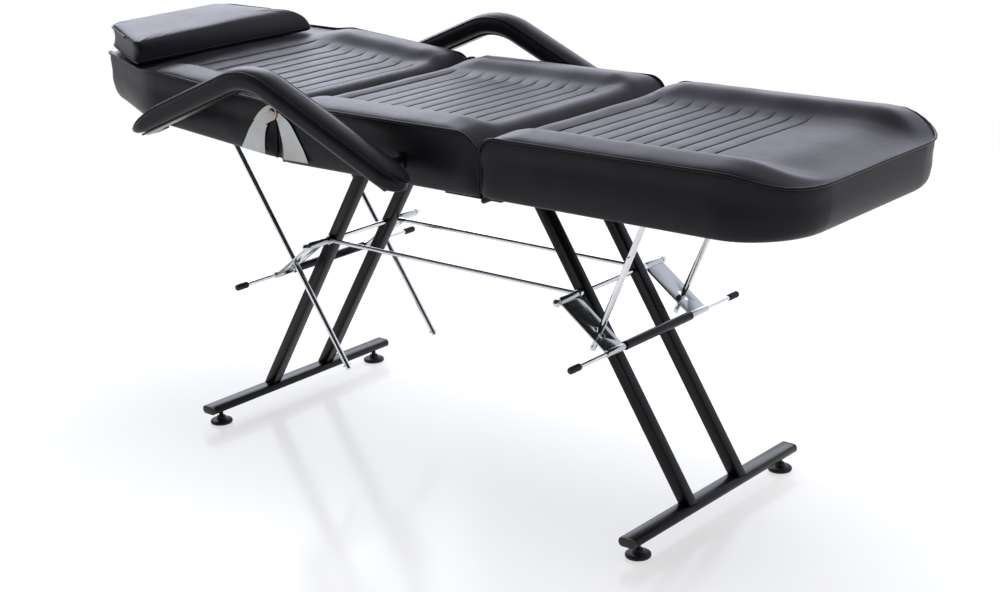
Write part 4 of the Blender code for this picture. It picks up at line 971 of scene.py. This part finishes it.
# Outlines are (x, z, 1 where sharp), in shares of reach and height from the pin
hingeLeaf = {
    "reach": 0.0985, "height": 0.096, "inner": 0.3003, "plate": 0.0025, "step": 0.0028, "edge": 0.0004,
    "webGap": 0.0002, "curveSteps": 8, "sunk": 0.0030,
    "pinShank": ((0.0046, -0.0036), (0.0074, 0.0)), "pinDome": (0.0076, 0.0006, 0.0022),
    "pinDimple": ((0.0020, 0.0026), (0.0017, 0.0018), (0.0003, 0.0018)),
    "seat": ((0.115, 0.010, 0), (0.235, -0.045, 0), (0.47, -0.205, 0), (0.69, -0.52, 0), (0.835, -0.76, 0),
             (0.93, -0.98, 1), (0.213, -0.985, 1), (0.222, -0.74, 0), (0.180, -0.48, 0), (0.105, -0.20, 0),
             (0.03, -0.13, 0), (-0.09, -0.08, 0), (-0.11, 0.03, 0), (-0.04, 0.115, 0), (0.05, 0.10, 0)),
    "upper": ((-0.552, -0.215, 1), (-0.45, -0.105, 0), (-0.34, -0.010, 0), (-0.22, 0.075, 0),
              (-0.09, 0.125, 0), (0.03, 0.120, 0), (0.11, 0.05, 0), (0.115, -0.06, 0), (0.06, -0.155, 0),
              (-0.05, -0.205, 0), (-0.178, -0.268, 1)),
    "web": ((-0.572, -0.235, 1), (-0.530, -0.195, 1), (-0.190, -0.250, 1), (-0.215, -0.302, 1)),
    "lower": ((-0.552, -0.215, 1), (-0.75, -0.445, 0), (-0.90, -0.68, 0), (-1.03, -0.87, 1),
              (-0.325, -0.935, 1), (-0.315, -0.69, 0), (-0.268, -0.45, 0), (-0.188, -0.285, 1)),
}


def curveThrough(corners):
    # A closed outline: soft points are joined by a smooth curve, the ones marked 1 stay sharp
    count = len(corners)
    steps = hingeLeaf["curveSteps"]
    outline = []
    for i in range(count):
        here, ahead = corners[i], corners[(i + 1) % count]
        before = here if here[2] else corners[i - 1]
        after = ahead if ahead[2] else corners[(i + 2) % count]
        p = [Vector(c[:2]) for c in (before, here, ahead, after)]
        for step in range(1 if here[2] and ahead[2] else steps):
            t = step / steps
            outline.append(0.5 * (2 * p[1] + (p[2] - p[0]) * t
                                  + (2 * p[0] - 5 * p[1] + 4 * p[2] - p[3]) * t ** 2
                                  + (3 * p[1] - p[0] - 3 * p[2] + p[3]) * t ** 3))
    return outline


def leafPlate(shape, part, side, near, far):
    # A flat plate with its edges just broken
    s = hingeLeaf
    outline = [(hingePlace.x + c.x * s["reach"], hingePlace.z + c.y * s["height"])
               for c in curveThrough(s[part])]
    count = len(outline)
    area = sum(outline[i - 1][0] * outline[i][1] - outline[i][0] * outline[i - 1][1] for i in range(count))
    inward = math.copysign(s["edge"], area)
    small = []
    for i, (x, z) in enumerate(outline):
        along = (Vector(outline[(i + 1) % count]) - Vector(outline[i - 1])).normalized()
        small.append((x - along.y * inward, z + along.x * inward))
    layers = ((small, near), (outline, near + s["edge"]), (outline, far - s["edge"]), (small, far))
    shape.skin([[(x, side * y, z) for x, z in ring] for ring, y in layers])


def makeHinge(name, side):
    s = hingeLeaf
    inner, outer = s["inner"], s["inner"] + s["plate"]
    seatLeaf = Shape()
    leafPlate(seatLeaf, "seat", side, inner, outer)
    low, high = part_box(name + "_seat_hinge_leaf")
    head = max(abs(low.y), abs(high.y)) - s["sunk"]
    profile = [*s["pinShank"], *dome(*s["pinDome"], 8, 7), *s["pinDimple"]]
    seatLeaf.lathe(profile, (hingePlace.x, side * head, hingePlace.z), (0, side, 0), 32)
    addPiece(name + "SeatHingeLeaf", seatLeaf, leafSteel, 30.0, "frame", "chrome", name + "_seat_hinge_leaf")
    backLeaf = Shape()
    leafPlate(backLeaf, "lower", side, inner, outer)
    leafPlate(backLeaf, "web", side, inner + s["webGap"], outer + s["step"] - s["webGap"])
    leafPlate(backLeaf, "upper", side, inner + s["step"], outer + s["step"])
    addPiece(name + "BackrestHingeLeaf", backLeaf, leafSteel, 30.0, "backrest", "chrome",
             name + "_backrest_hinge_leaf")


for side, way in sides:
    makeHinge(side, way)


# Backing cloth, stapled over the turned-under vinyl, and stitches along every sewn line of the pads

clothSheet = {"inset": 0.024, "stapleInset": 0.016, "below": 0.00018, "stapleBelow": 0.0003}
stapleSettings = {"Spacing": 0.036, "Length": 0.0052, "Width": 0.0006, "Height": 0.0006, "Wobble": 0.16,
                  "Seed": 11}
stitchSettings = {"Spacing": 0.0052, "Length": 0.0017, "Width": 0.00042, "Height": 0.00030, "Wobble": 0.05,
                  "Seed": 3}
stitchLine = {"reach": 0.57, "steps": 22, "lift": 0.0002}


def stitchTree(name, material, square, defaults):
    # Repeats one stitch or staple along a path
    tree = bpy.data.node_groups.new(name, "GeometryNodeTree")
    tree.interface.new_socket("Geometry", in_out="INPUT", socket_type="NodeSocketGeometry")
    for label, value in defaults.items():
        kind = "NodeSocketInt" if label == "Seed" else "NodeSocketFloat"
        tree.interface.new_socket(label, in_out="INPUT", socket_type=kind).default_value = value
    tree.interface.new_socket("Geometry", in_out="OUTPUT", socket_type="NodeSocketGeometry")
    work = Nodes(tree)

    def given(label):
        return work.add("NodeGroupInput", None, None, label)

    path = work.add("GeometryNodeMeshToCurve", None, {"Mesh": given("Geometry")})
    steps = work.add("GeometryNodeResampleCurve", {"mode": "LENGTH"},
                     {"Curve": path, "Length": given("Spacing")})
    if square:
        unit = work.add("GeometryNodeMeshCube", None, {"Size": (2.0, 2.0, 2.0)})
    else:
        unit = work.add("GeometryNodeMeshUVSphere", None, {"Segments": 8, "Rings": 5, "Radius": 1.0})
    size = work.add("ShaderNodeCombineXYZ", None,
                    {"X": given("Length"), "Y": given("Width"), "Z": given("Height")})
    turn = work.add("FunctionNodeAlignRotationToVector", {"axis": "X"},
                    {"Vector": work.add("GeometryNodeInputTangent")})
    wobble = given("Wobble")
    chance = work.add("FunctionNodeRandomValue", {"data_type": "FLOAT"},
                      {2: wobble * -1.0, 3: wobble, "Seed": given("Seed")}, 1)
    twist = work.add("ShaderNodeCombineXYZ", None, {"Z": chance})
    spin = work.add("FunctionNodeEulerToRotation", None, {"Euler": twist})
    turned = work.add("FunctionNodeRotateRotation", {"rotation_space": "LOCAL"},
                      {"Rotation": turn, "Rotate By": spin})
    copies = work.add("GeometryNodeInstanceOnPoints", None,
                      {"Points": steps, "Instance": unit, "Rotation": turned, "Scale": size})
    real = work.add("GeometryNodeRealizeInstances", None, {"Geometry": copies})
    finish = work.add("GeometryNodeSetMaterial", None, {"Geometry": real, "Material": material})
    work.fill(tree.nodes.new("NodeGroupOutput"), {"Geometry": finish})
    return tree


def runTree(name, tree, paths, sizes, body, slotName):
    # Paths are lists of points; each becomes a line that the tree works along
    points, edges = [], []
    for path in paths:
        edges += [(len(points) + i, len(points) + i + 1) for i in range(len(path) - 1)]
        points += path
    piece = meshPiece(name, points, [], edges=edges)
    modifier = piece.modifiers.new("Repeat", "NODES")
    modifier.node_group = tree
    for item in tree.interface.items_tree:
        if item.in_out == "INPUT" and item.name in sizes:
            modifier[item.identifier] = sizes[item.name]
    applyModifiers(piece)
    piece.data.shade_smooth()
    piece.data.set_sharp_from_angle(angle=math.radians(45.0))
    finishPiece(piece, body, slotName)


threadTree = stitchTree("rowOfStitches", thread, False, stitchSettings)
stapleTree = stitchTree("rowOfStaples", staple, True, stapleSettings)


def makeBacking(name):
    s = clothSheet
    node = cadNodes[name + "_board"]
    low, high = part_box(name + "_board")
    middle, span = (low + high) / 2, high - low

    def drawnIn(place, inset):
        return Vector((middle.x + (place.x - middle.x) * (1.0 - 2 * inset / span.x),
                       middle.y + (place.y - middle.y) * (1.0 - 2 * inset / span.y), place.z))

    mesh, builder = mergedCopy(name + "BackingCloth", node)
    under = max((f for f in builder.faces if f.normal.z < -0.9), key=lambda f: f.calc_area())
    rim = [v.co.copy() for v in under.verts]
    normal = under.normal.copy()
    for vertex in builder.verts:
        vertex.co = drawnIn(vertex.co, s["inset"]) + normal * s["below"]
    piece = copiedPiece(mesh, builder, boardCloth, 30.0)
    finishPiece(piece, node["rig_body"], "black_board", name + "_board")
    path = [drawnIn(p, s["stapleInset"]) + normal * s["stapleBelow"] for p in rim]
    runTree(name + "Staples", stapleTree, [path + path[:1]], stapleSettings, node["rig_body"], "chrome")


def sewPad(name, pad):
    s = stitchLine
    paths = []
    for i in range(pad["grooves"]):
        d = pad["grooveStart"] + i * padForm["pitch"]
        path = []
        for step in range(-s["steps"], s["steps"] + 1):
            share = s["reach"] * step / s["steps"]
            pulled = padForm["depth"] * nearEnd(abs(share), *padForm["heldSpan"])
            height = topHeight(pad, d, abs(share)) - pulled + s["lift"]
            path.append(padPlace(pad, (d, share * formAt(pad, "half", d), height)))
        paths.append(path)
    runTree(name + "Stitches", threadTree, paths, stitchSettings, pad["body"], "black_vinyl")


for padName in padSettings:
    makeBacking(padName)
for padName, pad in padSettings.items():
    sewPad(padName, pad)
print("bevelled nodes, hinges, backing and stitches done")


# Round steelwork, remade with full roundness

# Profiles are (radius, distance along)
rodSettings = {"crossrod": 0.005, "stretcher": 0.0045, "release": 0.004, "tube": (0.009, 0.0043),
               "nutStart": 0.1652, "intoNut": 0.004, "nutDome": 0.0068, "domeEnd": 0.0004,
               "nut": ((0.0084, 0.0), (0.0092, 0.0006), (0.0092, 0.0074), (0.0084, 0.0080))}


def centreOf(name):
    low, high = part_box(name)
    return (low + high) / 2


def makeCrossrod(end):
    s = rodSettings
    name = end + "_crossrod"
    x, _, z = centreOf(name)
    start, rodEnd = s["nutStart"], s["nutStart"] + s["intoNut"]
    domeStart = start + s["nut"][-1][1]
    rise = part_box(name)[1].y - domeStart
    profile = dome(s["nutDome"], 0.0, rise, 7, 7) + [(s["domeEnd"], rise)]
    hexagon = [(math.cos(math.pi * i / 3), math.sin(math.pi * i / 3)) for i in range(6)]
    shape = Shape().bar((x, -rodEnd, z), (x, rodEnd, z), s["crossrod"])
    for side in (-1, 1):
        shape.skin([[(x + radius * cosine, side * (start + along), z + radius * sine)
                     for cosine, sine in hexagon] for radius, along in s["nut"]])
        shape.lathe(profile, (x, side * domeStart, z), (0, side, 0), 32)
    addPiece(end + "Crossrod", shape, chrome, 32.0, "frame", "chrome", name)


eyeSettings = {"radius": 0.0095, "half": 0.005, "bore": 0.0053}


def makeStretcher(side):
    s = eyeSettings
    name = side + "_stretcher"
    _, y, z = centreOf(name)
    low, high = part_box(name)
    ends = (low.x + s["radius"], high.x - s["radius"])
    shape = Shape().bar((ends[0], y, z), (ends[1], y, z), rodSettings["stretcher"])
    for x in ends:
        shape.collar((x, y - s["half"], z), (x, y + s["half"], z), s["radius"], s["bore"])
    addPiece(side + "Stretcher", shape, chrome, 40.0, "frame", "chrome", name)


gripSettings = {
    "start": 0.0060, "ribs": 6, "firstRib": 0.0048, "ribPitch": 0.0032,
    "mouth": ((0.0042, 0.0), (0.0061, 0.0), (0.0066, 0.0007), (0.0068, 0.0022)),
    "rib": ((0.0068, 0.0), (0.0063, 0.0006), (0.0063, 0.0013), (0.0068, 0.0019)),
    "tip": ((0.0068, 0.0256), (0.0065, 0.0280), (0.0058, 0.0294), (0.0044, 0.0300), (0.0004, 0.0300)),
}


def makeReleaseLever(end):
    rod, tube, body = end + "_release_rod", end + "_release_tube", end + "_release"
    x, _, z = centreOf(rod)
    low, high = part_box(rod)
    shape = Shape().bar((x, low.y, z), (x, high.y, z), rodSettings["release"])
    addPiece(end + "ReleaseRod", shape, chrome, 40.0, body, "chrome", rod)
    low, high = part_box(tube)
    shape = Shape().collar((x, low.y, z), (x, high.y, z), *rodSettings["tube"])
    addPiece(end + "ReleaseTube", shape, powderCoat, 40.0, body, "black_steel", tube)
    s = gripSettings
    profile = list(s["mouth"])
    for i in range(s["ribs"]):
        first = s["firstRib"] + s["ribPitch"] * i
        profile += [(radius, first + along) for radius, along in s["rib"]]
    profile += s["tip"]
    for side, way in sides:
        grip = end + "_" + side + "_grip"
        low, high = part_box(grip)
        start = (low.y if way > 0 else high.y) + way * s["start"]
        shape = Shape().lathe(profile, (x, start, z), (0, way, 0), 32)
        addPiece(end + side.title() + "Grip", shape, rubber, 28.0, body, "black_rubber", grip)


# Each prop runs from its eye through its slot; stops are distances from the eye, and the tip's
# distances are from the end
propSettings = {
    "backrest": {"top": (-0.6322, 0.6625), "slot": (-0.4362, 0.3716), "length": 0.610, "stops": (0.600,)},
    "legrest": {"top": (0.5045, 0.6274), "slot": (0.3852, 0.3716), "length": 0.324,
                "stops": (0.314, 0.106)},
}
propSizes = {
    "root": (0.006, 0.0075), "tip": ((0.006, 0.003), (0.0057, 0.0016), (0.0048, 0.0005), (0.0036, 0.0)),
    "eyeHalf": 0.00625, "eyeRadius": 0.009, "eyeBore": 0.0045,
    "pinHalf": 0.011, "pinRadius": 0.002, "pinChamfer": 0.0003,
}


def makeProp(end, side):
    s = propSizes
    name = end + "_" + side + "_prop"
    y = centreOf(name).y
    top, slotPoint = (Vector((x, y, z)) for x, z in (propSettings[end]["top"], propSettings[end]["slot"]))
    along = (slotPoint - top).normalized()
    length = propSettings[end]["length"]
    profile = [s["root"]] + [(radius, length - back) for radius, back in s["tip"]]
    shape = Shape().lathe(profile, top, along, 32)
    eye, pin = Vector((0, s["eyeHalf"], 0)), Vector((0, s["pinHalf"], 0))
    shape.collar(top - eye, top + eye, s["eyeRadius"], s["eyeBore"])
    for reach in propSettings[end]["stops"]:
        place = top + along * reach
        shape.bar(place - pin, place + pin, s["pinRadius"], s["pinChamfer"], 20)
    addPiece(end + side.title() + "Prop", shape, chrome, 40.0, end + "_props", "chrome", name)


levellingFoot = {
    "disc": ((0.0215, 0.0), (0.0232, 0.0004), (0.0243, 0.0018), (0.0245, 0.0030), (0.0245, 0.0052),
             (0.0240, 0.0066), (0.0222, 0.0080), (0.0190, 0.0087), (0.0130, 0.0091), (0.0112, 0.0096),
             (0.0104, 0.0112), (0.0098, 0.0150), (0.0092, 0.0163), (0.0080, 0.0169), (0.0050, 0.0171)),
    "turn": ((0.0050, 0.0003), (0.0046, 0.0007), (0.0050, 0.0011)), "pitch": 0.0011, "lastTurn": 0.0016,
}


def makeLevellingFoot(end, side):
    s = levellingFoot
    name = end + "_" + side + "_levelling_foot"
    middle = centreOf(name)
    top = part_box(name)[1].z
    profile = list(s["disc"])
    height = profile[-1][1]
    while height < top - s["lastTurn"]:
        profile += [(radius, height + along) for radius, along in s["turn"]]
        height += s["pitch"]
    profile.append((s["turn"][1][0], top))
    shape = Shape().lathe(profile, (middle.x, middle.y, 0.0), (0, 0, 1), 48)
    addPiece(end + side.title() + "LevellingFoot", shape, rubber, 50.0, cadNodes[name]["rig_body"],
             "black_rubber", name)


for end in ("head", "foot"):
    makeCrossrod(end)
    makeReleaseLever(end)
    for side, way in sides:
        makeLevellingFoot(end, side)
for side, way in sides:
    makeStretcher(side)
    for end in propSettings:
        makeProp(end, side)
print("round steelwork done")


# Floor, light and camera

floorSettings = {"reach": 9.0, "colour": (0.92, 0.92, 0.93), "roughness": 0.16, "specular": 0.35,
                 "sweeps": 3.0, "sweepBlur": 0.10, "sweepBase": 0.12, "white": (1.0, 3.6), "nearGlow": 0.62}
roomSettings = {"headward": 0.5, "behind": (-0.65, 0.30), "front": 0.03, "ceiling": (0.52, 0.86),
                "top": 0.15, "colour": (0.86, 0.89, 1.0, 1.0)}
white = (1.0, 1.0, 1.0, 1.0)
lampSettings = {
    "overhead": {"place": (0.2, 0.6, 3.4), "target": (0.0, 0.0, 0.5), "size": (3.4, 2.6), "power": 145.0,
                 "mirrored": False, "colour": white[:3]},
    "backSoft": {"place": (-2.7, 3.2, 1.95), "target": (0.0, 0.0, 0.75), "size": (5.2, 2.3), "power": 62.0,
                 "mirrored": True, "colour": (0.86, 0.88, 1.0)},
    "headSoft": {"place": (-4.2, 2.7, 3.45), "target": (-0.8, 0.0, 0.8), "size": (2.6, 2.0), "power": 70.0,
                 "mirrored": True, "colour": (0.86, 0.89, 1.0)},
}
cameraSettings = {"place": (2.3221, -2.6633, 1.4694), "target": (0.0237, 0.0, 0.3467), "roll": -0.0370,
                  "lens": 64.614, "sensor": 36.0, "shift": (0.00041, -0.00209)}


def makeFloor():
    # The camera and mirrored rays see it white, and fully white away from the chair
    s = floorSettings
    reach = s["reach"]
    corners = [(-reach, -reach, 0), (reach, -reach, 0), (reach, reach, 0), (-reach, reach, 0)]
    floor = meshPiece("floor", corners, [(0, 1, 2, 3)])
    paint = Paint("paleFloor", s["colour"], s["roughness"], {"Specular IOR Level": s["specular"]})
    paint.feed({"Roughness": paint.cloud(s["sweeps"], 2.0) * s["sweepBlur"] + s["sweepBase"]})
    glow = paint.add("ShaderNodeEmission", None, {"Color": white, "Strength": 1.0})
    seen = (paint.add("ShaderNodeLightPath", output="Is Camera Ray")
            + paint.add("ShaderNodeLightPath", output="Is Glossy Ray")).between(0.0, 1.0)
    far = paint.add("ShaderNodeVectorMath", {"operation": "LENGTH"}, {0: paint.place()}, "Value")
    share = seen * (far.between(*s["white"]) * (1.0 - s["nearGlow"]) + s["nearGlow"])
    plain = Wire(paint, paint.shader.outputs[0])
    mixed = paint.add("ShaderNodeMixShader", None, {0: share, 1: plain, 2: glow})
    paint.fill(paint.tree.nodes["Material Output"], {"Surface": mixed})
    floor.data.materials.append(paint.material)


def makeWorld():
    # The room is bright behind and above the chair and dim on the camera's side
    s = roomSettings
    world = bpy.data.worlds.new("studio")
    bpy.context.scene.world = world
    world.use_nodes = True
    world.node_tree.nodes.clear()
    room = Nodes(world.node_tree)
    spot = room.add("ShaderNodeTexCoord", output="Generated")
    x, y, z = (room.add("ShaderNodeSeparateXYZ", None, {0: spot}, axis) for axis in "XYZ")
    behind = (y - x * s["headward"]).between(*s["behind"]) * (1.0 - s["front"]) + s["front"]
    level = behind * (1.0 - z.between(*s["ceiling"]) * (1.0 - s["top"]))
    seen = room.add("ShaderNodeLightPath", output="Is Camera Ray")
    strength = room.add("ShaderNodeMix", {"data_type": "FLOAT"}, {0: seen, 2: level, 3: 1.0})
    colour = room.tint(seen, s["colour"], white)
    shade = room.add("ShaderNodeBackground", None, {"Color": colour, "Strength": strength})
    room.fill(room.tree.nodes.new("ShaderNodeOutputWorld"), {"Surface": shade})


def makeLamp(name, s):
    light = bpy.data.lights.new(name, "AREA")
    light.shape = "RECTANGLE"
    light.size, light.size_y = s["size"]
    light.energy = s["power"]
    light.color = s["colour"]
    lamp = linkPiece(name, light)
    lamp.location = s["place"]
    lamp.rotation_euler = (Vector(s["target"]) - Vector(s["place"])).to_track_quat("-Z", "Y").to_euler()
    lamp.visible_glossy = s["mirrored"]


def makeCamera():
    s = cameraSettings
    place = Vector(s["place"])
    ahead = (Vector(s["target"]) - place).normalized()
    right = ahead.cross(Vector((0, 0, 1))).normalized()
    up = right.cross(ahead)
    cosine, sine = math.cos(s["roll"]), math.sin(s["roll"])
    axes = (right * cosine + up * sine, up * cosine - right * sine, -ahead, place)
    data = bpy.data.cameras.new("photoCamera")
    data.lens = s["lens"]
    data.sensor_width = s["sensor"]
    data.shift_x, data.shift_y = s["shift"]
    camera = linkPiece("photoCamera", data)
    camera.matrix_world = Matrix([[axis[i] for axis in axes] for i in range(3)] + [[0, 0, 0, 1]])
    bpy.context.scene.camera = camera


makeFloor()
makeWorld()
for lampName, settings in lampSettings.items():
    makeLamp(lampName, settings)
makeCamera()
bpy.context.scene.view_settings.view_transform = "Standard"

bpy.context.view_layer.update()
